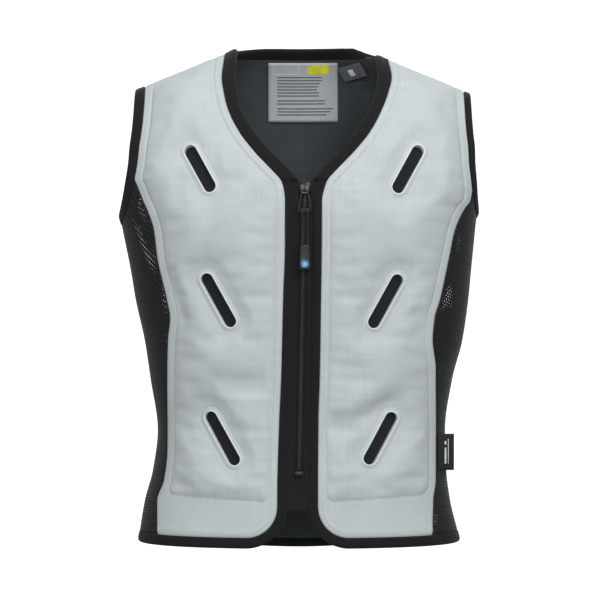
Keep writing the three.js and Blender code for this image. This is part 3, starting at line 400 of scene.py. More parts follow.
class Armhole:
    """Loop round an armhole, in from its free edge. The share runs from 0 at the ridge to 1 below."""

    def __init__(self, side, inset):
        tip = ARMHOLE[side]["tip"] * HALF_WIDTH - inset
        self.side = side
        self.top = float(ridge(tip))
        self.drop = ARMHOLE[side]["bottom"] * BODY_LENGTH + inset + self.top
        self.widest = float(side_angle(side, tip, self.top))

    def height(self, share):
        return self.top - share * self.drop

    def share_of_height(self, z):
        return np.clip((self.top - z) / self.drop, 0, 1)

    def share_of_angle(self, angle):
        turned = np.minimum(1, np.abs(angle) / self.widest)
        return (1 - turned**2) ** (1 / ARMHOLE_BEND)

    def point(self, share, back):
        angle = self.widest * np.sqrt(np.maximum(0, 1 - share**ARMHOLE_BEND))
        return side_point(self.side, np.where(back, -angle, angle), self.height(share))


PANEL_ARMHOLE = {side: Armhole(side, ARMHOLE[side]["binding"] + GAP) for side in SIDES}


def panel_edge(side, z):
    loop = PANEL_ARMHOLE[side]
    beside_arm = np.abs(loop.point(loop.share_of_height(z), False)[..., 0])
    return np.minimum(seam_edge(side, z) - GAP / 2, beside_arm)


def seam_top(side):
    """Height where the side seam meets the armhole binding."""
    loop = PANEL_ARMHOLE[side]
    low, high = -CHEST_DROP, -BODY_LENGTH * SIDE_SEAM[0][0]
    for _ in range(SEARCH_STEPS):
        z = (low + high) / 2
        beside_arm = abs(loop.point(loop.share_of_height(z), False)[0])
        if seam_edge(side, z) < beside_arm:
            low = z
        else:
            high = z
    return (low + high) / 2


SEAM_TOP = {side: seam_top(side) for side in SIDES}


def row_height(row, x, key):
    """Height of a row: 0 is the hem, 1 the line from zip top to armpit seam, 2 the ridge."""
    return np.where(row <= 1, lerp(HEM_TOP, key, row), lerp(key, ridge(x), row - 1))


def row_ends(rows, side, edge, key):
    z = row_height(rows, 0 * rows, key)
    for _ in range(SEARCH_STEPS):
        x = edge(side, z)
        z = lerp(z, row_height(rows, x, key), ROW_SEARCH)
    return SIGN[side] * x, z


def panel_rows(corner, body, shoulder, bend=SHOULDER_BEND):
    """Rows of a panel, closer together round the hem's corner and towards the ridge."""
    turn = (math.pi / 2) * (1 - np.arange(corner) / corner)
    low = CORNER_ROW * (1 - np.sin(turn))
    middle = np.linspace(CORNER_ROW, 1, body + 1)
    high = 2 - (1 - np.arange(1, shoulder + 1) / shoulder) ** bend
    return np.concatenate([low, middle, high])


# Meshes


def grid_faces(rows, columns):
    """Quads of a grid of points, numbered row by row."""
    i, j = np.meshgrid(np.arange(rows - 1), np.arange(columns - 1), indexing="ij")
    corner = (i * columns + j).ravel()
    return np.stack([corner, corner + 1, corner + columns + 1, corner + columns], 1)


def tube_faces(rows, columns, ring=False):
    """Quads of a grid whose columns close on themselves. A ring joins the last row to the first."""
    i, j = np.meshgrid(np.arange(rows if ring else rows - 1), np.arange(columns), indexing="ij")
    here, after = i.ravel() * columns, (i.ravel() + 1) % rows * columns
    j, beside = j.ravel(), (j.ravel() + 1) % columns
    return np.stack([here + j, here + beside, after + beside, after + j], 1)


def capped_tube(rows, columns, ring=False):
    last = (rows - 1) * columns
    caps = [] if ring else [list(range(columns)), list(range(last, last + columns))]
    return tube_faces(rows, columns, ring).tolist() + caps


class Shape:
    """Points, faces and cloth coordinates that are gathered into one mesh."""

    def __init__(self):
        self.points, self.uv, self.faces, self.count = [], [], [], 0

    def add(self, points, faces, uv=None):
        points = np.asarray(points, float).reshape(-1, 3)
        uv = np.zeros((len(points), 2)) if uv is None else np.asarray(uv, float).reshape(-1, 2)
        self.points.append(points)
        self.uv.append(uv)
        self.faces += [[int(k) + self.count for k in face] for face in faces]
        self.count += len(points)
        return self

    def build(self, name, material, closed=True, smooth=True):
        points, uv = np.concatenate(self.points), np.concatenate(self.uv)
        mesh = bpy.data.meshes.new(name)
        mesh.from_pydata(points.tolist(), [], self.faces)
        mesh.validate()
        corners = np.zeros(len(mesh.loops), np.int32)
        mesh.loops.foreach_get("vertex_index", corners)
        layer = mesh.uv_layers.new(name="cloth")
        layer.data.foreach_set("uv", uv[corners].astype(np.float32).ravel())
        turn_outwards(mesh, closed)
        mesh.polygons.foreach_set("use_smooth", [smooth] * len(mesh.polygons))
        if material:
            mesh.materials.append(material)
        return add_object(name, mesh)


def turn_outwards(mesh, closed):
    work = bmesh.new()
    work.from_mesh(mesh)
    if closed:
        bmesh.ops.recalc_face_normals(work, faces=work.faces)
    else:
        axis = Vector((0, 0, CAMERA_HEIGHT))
        flow = sum(f.calc_area() * f.normal.dot(f.calc_center_median() - axis) for f in work.faces)
        if flow < 0:
            bmesh.ops.reverse_faces(work, faces=work.faces)
    work.to_mesh(mesh)
    work.free()


def dress(piece, body, slot, *nodes):
    """A piece rides on a body and stands for CAD nodes, which are hidden. The slot is not used."""
    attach(piece, body)
    if nodes:
        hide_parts(*nodes)
    return piece


# Relief of the padded panels: welded lines, padding, folds and the rims of the slots

BORDER_LINES = (3.6 * MM, 9.0 * MM)
NECK_LINES = (4.6 * MM, 9.4 * MM, 13.0 * MM)
ARM_LINES = (3.2 * MM, 10.5 * MM)
LINE_WIDTH = 0.9 * MM
LINE_DEPTH = 0.45 * MM
PAD_INSET = 9.5 * MM
PAD_CORNER = 9 * MM
PAD_SWELL = 6 * MM
PAD_TILT = 0.05
FOLD_GAIN = 1.7
SLOT_DIP = 16 * MM
SLOT_KEEP = 0.6
EDGE_ROLL = 1.2 * MM
TURN_IN = 1.4 * MM
TOP_FADE = 22 * MM
WELD_GROOVE = 1.5 * LINE_DEPTH
BELLY = {"high": 0.5 * PAD_RISE, "place": 24 * MM, "width": 26 * MM, "reach": 60 * MM}
NECK_LINES_ABOVE = 25 * MM
BORDER_BEAD = {"high": 0.6 * MM, "place": 6.2 * MM, "width": 2.4 * MM}
RIM_BEAD = {"high": 0.7 * MM, "place": 1.3 * MM, "width": 1.0 * MM}
RIM_GROOVE = {"high": -0.5 * MM, "place": SLOT_RIM, "width": 1.1 * MM}
ARM_LINES_FROM = (-1.1 * CHEST_DROP, -0.9 * CHEST_DROP)
FIELD_CELL = 4 * MM
FIELD_SPREAD = 4.5 * MM
FIELD_FLOOR = 1e-3
SIM = {"rows": 84, "columns": 32, "frames": 20, "quality": 8, "pressure": 3.0, "slack": 0.03}
SIM_CLOTH = {"mass": 0.15, "stretch": 12, "shear": 4, "bend": 0.05}
SIM_EDGE = 7 * MM
SIM_CAP = (-4 * MM, 7 * MM)
RIPPLES = [
    {"along": 38, "across": 7, "turn": 0.4, "high": 0.30},
    {"along": -21, "across": 26, "turn": 1.7, "high": 0.24},
    {"along": 12, "across": 55, "turn": 2.9, "high": 0.22},
    {"along": 74, "across": -31, "turn": 0.9, "high": 0.16},
    {"along": -60, "across": -52, "turn": 4.1, "high": 0.13},
]


def per_height(edge, side, z):
    """How fast an edge's distance from the middle changes with height."""
    step = 1 * MM
    return (edge(side, z + step) - edge(side, z - step)) / (2 * step)


def rounded(a, b, corner):
    """Distance inside two crossing edges whose corner is rounded."""
    u, v = np.maximum(corner - a, 0), np.maximum(corner - b, 0)
    return np.where((u > 0) & (v > 0), corner - np.hypot(u, v), np.minimum(a, b))


def edge_distances(side, x, z):
    """Distance in from the front edge, from the outer edge, up from the hem and down from the ridge."""
    front = (np.abs(x) - straight_edge(side, z)) / np.hypot(1, per_height(straight_edge, side, z))
    outer = (panel_edge(side, z) - np.abs(x)) / np.hypot(1, per_height(panel_edge, side, z))
    return front, outer, z - HEM_TOP, ridge(x) - z


def slots_of(side):
    return [slot for slot in SLOTS if slot["side"] == side]


def slot_place(slot):
    """Middle of a slot in the front view, its direction and the half length of its straight part."""
    middle = np.array([SIGN[slot["side"]] * slot["across"] * HALF_WIDTH, -slot["drop"] * BODY_LENGTH])
    turn = SIGN[slot["side"]] * SLOT_TILT
    return middle, np.array([math.sin(turn), math.cos(turn)]), (SLOT_LENGTH * slot["length"] - SLOT_WIDTH) / 2


def slot_distance(slot, x, z):
    """Distance out from a slot's edge in the front view."""
    middle, along, half = slot_place(slot)
    dx, dz = x - middle[0], z - middle[1]
    share = np.clip(dx * along[0] + dz * along[1], -half, half)
    return np.hypot(dx - share * along[0], dz - share * along[1]) - SLOT_WIDTH / 2


def lines(distance, places):
    return -LINE_DEPTH * sum(bell(distance - place, LINE_WIDTH) for place in places)


def bead(distance, row):
    return row["high"] * bell(distance - row["place"], row["width"])


def ripple(x, z):
    """Slight unevenness of the cloth."""
    phases = [wave["along"] * z + wave["across"] * x + wave["turn"] for wave in RIPPLES]
    return sum(wave["high"] * MM * np.sin(phase) for wave, phase in zip(RIPPLES, phases))


def pad_profile(distance):
    rise = PAD_RISE * (1 - np.exp(-np.maximum(distance, 0) / PAD_SWELL))
    return rise - WELD_GROOVE * bell(distance, LINE_WIDTH)


def folds(side, x, z):
    deepest = np.zeros(np.broadcast(x, z).shape)
    for fold in FOLDS:
        if fold["side"] != side:
            continue
        start = np.array([fold["x1"] * HALF_WIDTH, fold["d1"] * BODY_LENGTH])
        along = np.array([fold["x2"] * HALF_WIDTH, fold["d2"] * BODY_LENGTH]) - start
        dx, dz = np.abs(x) - start[0], -z - start[1]
        share = np.clip((dx * along[0] + dz * along[1]) / along.dot(along), 0, 1)
        away = np.hypot(dx - share * along[0], dz - share * along[1])
        deepest = np.maximum(deepest, FOLD_GAIN * fold["deep"] * MM * bell(away, fold["width"] * MM))
    return deepest


SWELL = {side: None for side in SIDES}


class Swell:
    """How far simulated cloth stands out, as a smooth field over the front view."""

    def __init__(self, x, z, moved):
        self.low = np.array([x.min(), z.min()]) - 3 * FIELD_CELL
        count = ((np.array([x.max(), z.max()]) - self.low) / FIELD_CELL).astype(int) + 5
        cells = [start + FIELD_CELL * np.arange(n) for start, n in zip(self.low, count)]
        near_x, near_z = (bell(cell[:, None] - at.ravel(), FIELD_SPREAD) for cell, at in zip(cells, (x, z)))
        self.field = (near_x * moved.ravel()) @ near_z.T / (near_x @ near_z.T + FIELD_FLOOR)

    def __call__(self, x, z):
        """Cubic spline through the field."""
        u, v = (x - self.low[0]) / FIELD_CELL, (z - self.low[1]) / FIELD_CELL
        i = np.clip(np.floor(u).astype(int), 1, self.field.shape[0] - 3)
        j = np.clip(np.floor(v).astype(int), 1, self.field.shape[1] - 3)
        total = 0.0
        for a, wide in enumerate(spline_weights(np.clip(u - i, 0, 1))):
            for b, high in enumerate(spline_weights(np.clip(v - j, 0, 1))):
                total = total + wide * high * self.field[i + a - 1, j + b - 1]
        return total


def spline_weights(t):
    u = 1 - t
    return u**3 / 6, (3 * t**3 - 6 * t**2 + 4) / 6, (3 * u**3 - 6 * u**2 + 4) / 6, t**3 / 6


def simulate(points, held, outward):
    """How far outwards a panel's cloth moves under soft pressure, held where it is welded."""
    trial = Shape().add(points, grid_faces(*points.shape[:2])).build("cloth_trial", None, closed=False)
    group = trial.vertex_groups.new(name="held")
    for k, share in enumerate(held.ravel()):
        group.add([k], float(share), "REPLACE")
    cloth = trial.modifiers.new("cloth", "CLOTH")
    settings = cloth.settings
    settings.quality = SIM["quality"]
    settings.mass = SIM_CLOTH["mass"]
    settings.tension_stiffness = settings.compression_stiffness = SIM_CLOTH["stretch"]
    settings.shear_stiffness = SIM_CLOTH["shear"]
    settings.bending_stiffness = SIM_CLOTH["bend"]
    settings.use_pressure = True
    settings.uniform_pressure_force = SIM["pressure"]
    settings.shrink_min = -SIM["slack"]
    settings.vertex_group_mass = "held"
    settings.effector_weights.gravity = 0
    scene = bpy.context.scene
    for at in range(1, SIM["frames"] + 1):
        scene.frame_set(at)
    done = trial.evaluated_get(bpy.context.evaluated_depsgraph_get())
    after = np.zeros(points.size, np.float32)
    done.data.vertices.foreach_get("co", after)
    bpy.data.objects.remove(trial)
    scene.frame_set(1)
    moved = ((after.reshape(points.shape) - points) * outward).sum(axis=-1)
    return np.clip(moved, *SIM_CAP)


def front_swell(side):
    """Swell of a front panel, from a cloth simulation."""
    rows = np.concatenate([np.linspace(0, 1, SIM["rows"]), np.linspace(1, 2, SIM["rows"] // 4)[1:]])
    from_x, _ = row_ends(rows, side, front_edge, -ZIP_TOP_DROP)
    to_x, _ = row_ends(rows, side, panel_edge, SEAM_TOP[side])
    share = np.linspace(0, 1, SIM["columns"])
    x = lerp(from_x[:, None], to_x[:, None], share)
    z = row_height(rows[:, None], x, lerp(-ZIP_TOP_DROP, SEAM_TOP[side], share))
    free = smoothstep(pad_distance(side, x, z), 0, SIM_EDGE)
    for slot in slots_of(side):
        free *= smoothstep(slot_distance(slot, x, z), SLOT_RIM, SLOT_RIM + SIM_EDGE)
    free *= smoothstep(ridge(x) - z, 0, 2 * SIM_EDGE)
    points = front_point(x, z, 0 * x)
    return Swell(x, z, simulate(points, 1 - free, normals(points)))


def pad_hem_distance(x, hem):
    """Distance up from the padding's lower weld, which slopes a little."""
    return hem - PAD_HEM - PAD_TILT * (np.abs(x) - HALF_WIDTH / 2)


def pad_distance(side, x, z):
    """Distance in from the welded outline of a front panel's padding."""
    front, outer, hem, _ = edge_distances(side, x, z)
    inner = rounded(front - PAD_INSET, pad_hem_distance(x, hem), PAD_CORNER)
    return rounded(inner, outer - PAD_INSET, PAD_CORNER)


def front_relief(side, x, z):
    """Height of a front panel's face over the body."""
    front, outer, hem, top = edge_distances(side, x, z)
    border = rounded(front, hem, HEM_CORNER)
    pad = pad_profile(pad_distance(side, x, z))
    belly = bead(pad_hem_distance(x, hem), BELLY) * smoothstep(outer, 0, BELLY["reach"])
    dents = folds(side, x, z) * np.clip(pad / PAD_RISE, 0, 1)
    height = (pad + belly - dents + ripple(x, z)) * smoothstep(top, 0, TOP_FADE)
    height += SWELL[side](x, z) if SWELL[side] else 0
    below_zip_top = smoothstep(-z, ZIP_TOP_DROP - NECK_LINES_ABOVE, ZIP_TOP_DROP)
    height += lines(border, BORDER_LINES) * below_zip_top
    height += lines(front, NECK_LINES) * (1 - below_zip_top)
    height += lines(outer, ARM_LINES) * smoothstep(z, *ARM_LINES_FROM)
    height += bead(border, BORDER_BEAD)
    for slot in slots_of(side):
        away = slot_distance(slot, x, z)
        height *= lerp(SLOT_KEEP, 1, smoothstep(away, SLOT_RIM, SLOT_RIM + SLOT_DIP))
        height += bead(away, RIM_BEAD) + bead(away, RIM_GROOVE)
    return height - EDGE_ROLL * (bell(border, EDGE_ROLL) + bell(outer, EDGE_ROLL))


# Front panels

EDGE_STEPS = np.linspace(0, 16 * MM, 21)
PANEL_MIDDLE = 62
PANEL_ROWS = (12, 210, 60)
RIM_ROOM = SLOT_RIM + 2.5 * MM
RIM_RINGS = (1, 0.88, 0.76, 0.66, 0.58, 0.5, 0.42, 0.34, 0.27, 0.21, 0.16, 0.11, 0.06, 0.02)
RIM_FALL = {"inside": 0.2 * MM, "depths": (0.6 * MM, 1.6 * MM, PANEL_WALL + LINING_SPACE / 2)}
STEEPEST = 1.7
# Section of the welded edge round a slot, painted paler than the grey cloth as a highlight: distance out from
# the slot and height, in millimetres
EDGE_PROFILE = [(-0.35, -1.6), (-0.4, -0.4), (-0.25, 0.2), (0.2, 0.5), (0.9, 0.55), (1.3, 0.3), (1.5, -0.2)]
ARC_STEPS = 22
STRAIGHT_STEPS = 26
LINING_GRID = {"middle": 24, "rows": (6, 70, 24), "steps": np.linspace(0, 16 * MM, 4)}


def front_places(side, middle=PANEL_MIDDLE, rows=PANEL_ROWS, steps=EDGE_STEPS):
    """Places in the front view of a panel's grid, closer together along its edges."""
    row = panel_rows(*rows)
    from_x, from_z = row_ends(row, side, front_edge, -ZIP_TOP_DROP)
    to_x, _ = row_ends(row, side, panel_edge, SEAM_TOP[side])
    wide = np.abs(to_x - from_x)
    slant = np.minimum(STEEPEST, np.hypot(1, per_height(straight_edge, side, from_z)))
    near = steps[None, :] * slant[:, None]
    far = wide[:, None] - steps[None, ::-1]
    between = np.linspace(near[:, -1], far[:, 0], middle + 2, axis=1)[:, 1:-1]
    share = np.concatenate([near, between, far], axis=1) / wide[:, None]
    x = lerp(from_x[:, None], to_x[:, None], share)
    key = lerp(-ZIP_TOP_DROP, SEAM_TOP[side], share)
    return x, row_height(row[:, None], x, key)


def front_point(x, z, height):
    p = sheet_point(x, z, False)
    p[..., 1] = np.minimum(p[..., 1], -GAP / 2)
    return offset(p, height)


def turned_in(places):
    """Grid with two more rows and columns all round, for the edges that are turned in."""
    return np.pad(places, 2, mode="edge")


def border_height(shape):
    """Extra depth of the turned-in rows and columns."""
    depth = np.zeros(shape)
    for k, deep in enumerate((PANEL_WALL, TURN_IN)):
        for edge in (np.s_[k, :], np.s_[-1 - k, :], np.s_[:, k], np.s_[:, -1 - k]):
            depth[edge] = np.maximum(depth[edge], deep)
    return depth


def slot_outline(slot):
    """Points round the middle line of a slot and the directions out from it."""
    middle, along, half = slot_place(slot)
    beside = np.array([-along[1], along[0]])
    arc = np.linspace(0, math.pi, ARC_STEPS, endpoint=False)
    run = np.linspace(1, -1, STRAIGHT_STEPS, endpoint=False)
    centre = [(half, a) for a in arc] + [(half * r, math.pi) for r in run]
    centre += [(-half, a + math.pi) for a in arc] + [(-half * r, 2 * math.pi) for r in run]
    at = np.array([share for share, _ in centre])[:, None] * along[None, :] + middle
    turn = np.array([a for _, a in centre])
    return at, -np.cos(turn)[:, None] * beside[None, :] + np.sin(turn)[:, None] * along[None, :]


def slot_rim(shape, side, slot):
    """Rings round a slot, from the panel down its rim and through the cloth."""
    at, out = slot_outline(slot)
    rings = []
    for share in RIM_RINGS:
        x, z = (at + out * (SLOT_WIDTH / 2 + share * RIM_ROOM)).T
        rings.append(front_point(x, z, front_relief(side, x, z)))
    x, z = (at + out * (SLOT_WIDTH / 2 - RIM_FALL["inside"])).T
    rings += [front_point(x, z, -deep) for deep in RIM_FALL["depths"]]
    points = np.array(rings)
    shape.add(points, tube_faces(len(rings), len(at)), cloth_uv(points[..., 0], points[..., 2]))


def front_panel(side, material):
    x, z = (turned_in(places) for places in front_places(side))
    keep = np.ones((x.shape[0] - 1, x.shape[1] - 1), bool)
    for slot in slots_of(side):
        away = slot_distance(slot, x, z) - RIM_ROOM
        cut = away[:-1, :-1] + away[1:, :-1] + away[:-1, 1:] + away[1:, 1:] < 0
        keep &= ~cut
        x, z = snap_to_slot(slot, x, z, cut)
    points = front_point(x, z, front_relief(side, x, z) - border_height(x.shape))
    shape = Shape().add(points, grid_faces(*x.shape)[keep.ravel()], cloth_uv(x, z))
    for slot in slots_of(side):
        slot_rim(shape, side, slot)
    return shape.build(f"padded_front_{side}", material, closed=False)


def slot_edges(side, material):
    """Welded edge of the cloth round each slot, painted paler than the grey cloth as a highlight."""
    shape = Shape()
    beside, high = np.array(EDGE_PROFILE).T[..., None] * MM
    for slot in slots_of(side):
        at, out = slot_outline(slot)
        ring = at + out * (SLOT_WIDTH / 2 + beside[..., None])
        x, z = ring[..., 0], ring[..., 1]
        level = front_relief(side, *(at + out * (SLOT_WIDTH / 2 + 1 * MM)).T)
        shape.add(front_point(x, z, level + high), tube_faces(*x.shape), cloth_uv(x, z))
    return shape.build(f"slot_edges_{side}", material, closed=False)


def snap_to_slot(slot, x, z, cut):
    """Moves the grid points round a slot's cut-out onto its rim."""
    inside, beside = np.zeros(x.shape, bool), np.zeros(x.shape, bool)
    for i, j in ((0, 0), (0, 1), (1, 0), (1, 1)):
        inside[i : x.shape[0] - 1 + i, j : x.shape[1] - 1 + j] |= cut
        beside[i : x.shape[0] - 1 + i, j : x.shape[1] - 1 + j] |= ~cut
    step = NORMAL_STEP
    away = slot_distance(slot, x, z) - RIM_ROOM
    gx = (slot_distance(slot, x + step, z) - slot_distance(slot, x - step, z)) / (2 * step)
    gz = (slot_distance(slot, x, z + step) - slot_distance(slot, x, z - step)) / (2 * step)
    return np.where(inside & beside, x - away * gx, x), np.where(inside & beside, z - away * gz, z)


def tucked(x, z, outward, top):
    """Grid whose outermost rows and columns run on under the bindings."""
    x[:, 0] -= outward * TUCK
    x[:, -1] += outward * TUCK
    z[0] -= TUCK
    z[-1] += TUCK * top
    return x, z


def front_lining(side, material):
    x, z = front_places(side, **LINING_GRID)
    x, z = tucked(x, z, SIGN[side], 0)
    face = -PANEL_WALL - LINING_SPACE
    outer = front_point(x, z, np.full(x.shape, face))
    inner = front_point(x, z, np.full(x.shape, face - LINING_WALL))
    piece = sheet_slab(f"front_lining_{side}_cloth", outer, inner, material)
    return piece


def sheet_slab(name, outer, inner, material):
    """Closed thin slab between two grids of points."""
    rows, columns = outer.shape[:2]
    loop = np.concatenate([outer, inner[:, ::-1]], axis=1)
    across = np.cumsum(np.linalg.norm(np.diff(outer, axis=1, prepend=outer[:, :1]), axis=-1), axis=1)
    u = np.concatenate([across, across[:, ::-1]], axis=1)
    faces = tube_faces(rows, 2 * columns).tolist()
    for first in (0, (rows - 1) * 2 * columns):
        last = first + 2 * columns - 1
        faces += [[first + j, first + j + 1, last - j - 1, last - j] for j in range(columns - 1)]
    return Shape().add(loop, faces, np.stack([u, loop[..., 2]], axis=-1)).build(name, material)


# Back panel and lining

BACK_TOP_SPANS = (3, 8, 3)
BACK_COLUMNS = 190
BACK_ROWS = (1, 190, 60)
BACK_LINING_GRID = (80, (1, 90, 30))
# Share of the neck's width over which the lining runs on under the neck binding
NECK_TUCK = 0.9
NAPE_ROWS_BEND = 2.6
BACK_HEM_ROWS = 14
BACK_RIPPLE = {"stretch": 1.3, "shift": 0.2}
LINING_WAVES = {"high": 0.9 * MM, "across": 9 * MM, "down": 60 * MM, "top": 50 * MM, "hem": 100 * MM}


def at_ridge(edge, key):
    """Distance from the middle at which each side's edge meets the shoulder ridge."""
    return {side: abs(float(row_ends(np.array([2.0]), side, edge, key[side])[0][0])) for side in SIDES}


ZIP_TOP = {side: -ZIP_TOP_DROP for side in SIDES}
NECK_HALF = at_ridge(front_edge, ZIP_TOP)
NECK_FREE = at_ridge(neck_edge, ZIP_TOP)
PANEL_TIP = at_ridge(panel_edge, SEAM_TOP)


def neck_share(x):
    return np.minimum(1, np.abs(x) / by_side(x, **NECK_HALF))


def under_ridge(x, share, sink):
    """Height that the back of the neck stays under, so that it meets the shoulder ridge at its ends."""
    return ridge(x) - sink * (1 - share ** NECK_TURN["sink"])


def back_neck(x):
    share = neck_share(x)
    return np.minimum(BODY_LENGTH * BACK_NECK_RISE(share), under_ridge(x, share, NECK_SINK["edge"])) - GAP


def back_top(x):
    half = by_side(x, **NECK_HALF)
    return np.where(np.abs(x) < half - GAP, back_neck(x), ridge(x))


def back_hem(x):
    share = np.minimum(1, np.abs(x) / by_side(x, seam_edge("left", HEM_TOP), seam_edge("right", HEM_TOP)))
    return HEM_TOP - BACK_HEM_DROP * (1 - share * share)


def neck_column(share):
    middle = (NECK_HALF["right"] - NECK_HALF["left"]) / 2
    half = (NECK_HALF["right"] + NECK_HALF["left"]) / 2
    return middle - half * np.cos(math.pi * share)


def back_top_column(share):
    """Place along the top edge: left shoulder, back of the neck, right shoulder."""
    left, neck, right = BACK_TOP_SPANS
    at = share * (left + neck + right)
    on_left = lerp(-PANEL_TIP["left"], -NECK_HALF["left"], at / left)
    on_right = lerp(NECK_HALF["right"], PANEL_TIP["right"], (at - left - neck) / right)
    on_neck = neck_column(np.clip((at - left) / neck, 0, 1))
    return np.where(at < left, on_left, np.where(at > left + neck, on_right, on_neck))


def back_places(columns, rows):
    row = panel_rows(*rows, bend=NAPE_ROWS_BEND)
    row = np.concatenate([[0], row[row >= CORNER_ROW]])
    row = np.unique(np.concatenate([np.linspace(0, row[1], BACK_HEM_ROWS), row]))
    from_x, from_z = row_ends(row, "left", panel_edge, SEAM_TOP["left"])
    to_x, to_z = row_ends(row, "right", panel_edge, SEAM_TOP["right"])
    share = np.linspace(0, 1, columns + 1)
    blend = np.maximum(0, row - 1)[:, None]
    even = lerp(from_x[:, None], to_x[:, None], share)
    x = lerp(even, back_top_column(share)[None, :], blend)
    key = lerp(SEAM_TOP["left"], SEAM_TOP["right"], share)
    z = np.where(row[:, None] <= 1, lerp(back_hem(x), key, row[:, None]), lerp(key, back_top(x), blend))
    x[:, 0], x[:, -1], z[:, 0], z[:, -1] = from_x, to_x, from_z, to_z
    return x, z


def back_point(x, z, height):
    p = sheet_point(x, z, True)
    p[..., 1] = np.maximum(p[..., 1], GAP / 2)
    return offset(p, height)


def back_relief(x, z):
    """Height of the back panel's face over the body."""
    outer = by_side(x, panel_edge("left", z), panel_edge("right", z)) - np.abs(x)
    top, hem = back_top(x) - z, z - back_hem(x)
    below = rounded(hem - PAD_HEM, outer - PAD_INSET, PAD_CORNER)
    pad = pad_profile(rounded(below, top - PAD_INSET, PAD_CORNER))
    waves = ripple(BACK_RIPPLE["stretch"] * x + BACK_RIPPLE["shift"], z)
    height = (pad + waves) * smoothstep(top, 0, TOP_FADE) + lines(outer, ARM_LINES) + lines(hem, BORDER_LINES)
    return height - EDGE_ROLL * (bell(hem, EDGE_ROLL) + bell(outer, EDGE_ROLL))


def back_panel(material):
    x, z = (turned_in(places) for places in back_places(BACK_COLUMNS, BACK_ROWS))
    points = back_point(x, z, back_relief(x, z) - border_height(x.shape))
    shape = Shape().add(points, grid_faces(*x.shape), cloth_uv(x, z))
    return shape.build("padded_back", material, closed=False)


def back_lining(material):
    x, z = back_places(*BACK_LINING_GRID)
    x, z = tucked(x, z, 1, neck_share(x[-1]) < NECK_TUCK)
    waves = LINING_WAVES["high"] * np.sin(x / LINING_WAVES["across"] + np.sin(z / LINING_WAVES["down"]))
    waves *= smoothstep(back_top(x) - z, 0, LINING_WAVES["top"]) * smoothstep(z, -2 * CHEST_DROP, -CHEST_DROP)
    waves = np.minimum(waves, 0) * smoothstep(z - back_hem(x), 0, LINING_WAVES["hem"])
    face = waves - PANEL_WALL - LINING_SPACE
    outer, inner = back_point(x, z, face), back_point(x, z, face - LINING_WALL)
    piece = sheet_slab("back_lining_cloth", outer, inner, material)
    return piece


# Side mesh: a honeycomb of cloth with a round hole in each cell

MESH_PITCH = {"across": 3.7 * MM, "down": 3.3 * MM}
MESH_TUCK = 0.025
TUCK_DEPTH = 2.2 * MM
HOLE_RADIUS = 0.27
HOLE_SINK = 0.35 * MM
CELL_TILT = 1 / 6
CELL = np.array([(-0.5, 0), (0, 0), (0.5, 0), (0.5, 1), (0, 1), (-0.5, 1)])
# Rings of a cell's hole: radius as a share of the cell, and depth
HOLE_RINGS = [(1.35 * HOLE_RADIUS, 0.0), (HOLE_RADIUS, -HOLE_SINK), (HOLE_RADIUS, -MESH_WALL)]
MESH_STEPS = 60
WELD_DISTANCE = 0.02 * MM


def mesh_angle(side, share, z):
    seam = side_angle(side, seam_edge(side, z) + GAP / 2, z)
    return lerp(seam, -seam, share)


def mesh_top(side, share):
    loop = PANEL_ARMHOLE[side]
    z = np.full(np.shape(share), SEAM_TOP[side])
    for _ in range(SEARCH_STEPS):
        edge = loop.height(loop.share_of_angle(mesh_angle(side, share, z)))
        z = lerp(z, np.minimum(SEAM_TOP[side], edge), MESH_SEARCH)
    return z


def mesh_point(side, across, up, height):
    """Point of the mesh, whose edges run on under the pieces that they are sewn to."""
    ends = (across <= 0) * -1.0 + (across >= 1)
    rims = (up <= 0) * -1.0 + (up >= 1)
    z = lerp(HEM_TOP, mesh_top(side, across), up) + rims * TUCK
    angle = mesh_angle(side, across, z) + ends * MESH_TUCK * mesh_angle(side, 1.0, z)
    return offset(side_point(side, angle, z), height - TUCK_DEPTH * (np.abs(ends) + np.abs(rims) > 0))


def mesh_cells(side, rows, columns):
    """Points of all whole cells, each with its outline and the rings of its hole."""
    angle = np.arctan2(CELL[:, 1] - 0.5, CELL[:, 0])
    cells = np.array([(i, j + 0.5 + 0.5 * (i % 2)) for i in range(rows) for j in range(columns - i % 2)])
    i, centre = cells[:, :1], cells[:, 1:]
    bend = np.where(CELL[:, 0] == 0, 1, -1) * np.where(CELL[:, 1] == 0, -1, 1) * CELL_TILT
    at_end = [(i == 0) & (CELL[:, 1] == 0), (i == rows - 1) & (CELL[:, 1] == 1)]
    rings = [(centre + CELL[:, 0], np.select(at_end, [0, rows], i + CELL[:, 1] + bend), 0.0)]
    for radius, sink in HOLE_RINGS:
        rings.append((centre + radius * np.cos(angle), i + 0.5 + radius * np.sin(angle), sink))
    points = [mesh_point(side, a / columns, u / rows, np.full(a.shape, sink)) for a, u, sink in rings]
    return np.stack(points, 1)


def half_cell(left, right, low, tilt, rows):
    """Outline of the closed half cell at the end of every second row."""
    across = np.array([left, right, right, left])
    return across, np.clip([low + tilt, low - tilt, low + 1 + tilt, low + 1 - tilt], 0, rows)


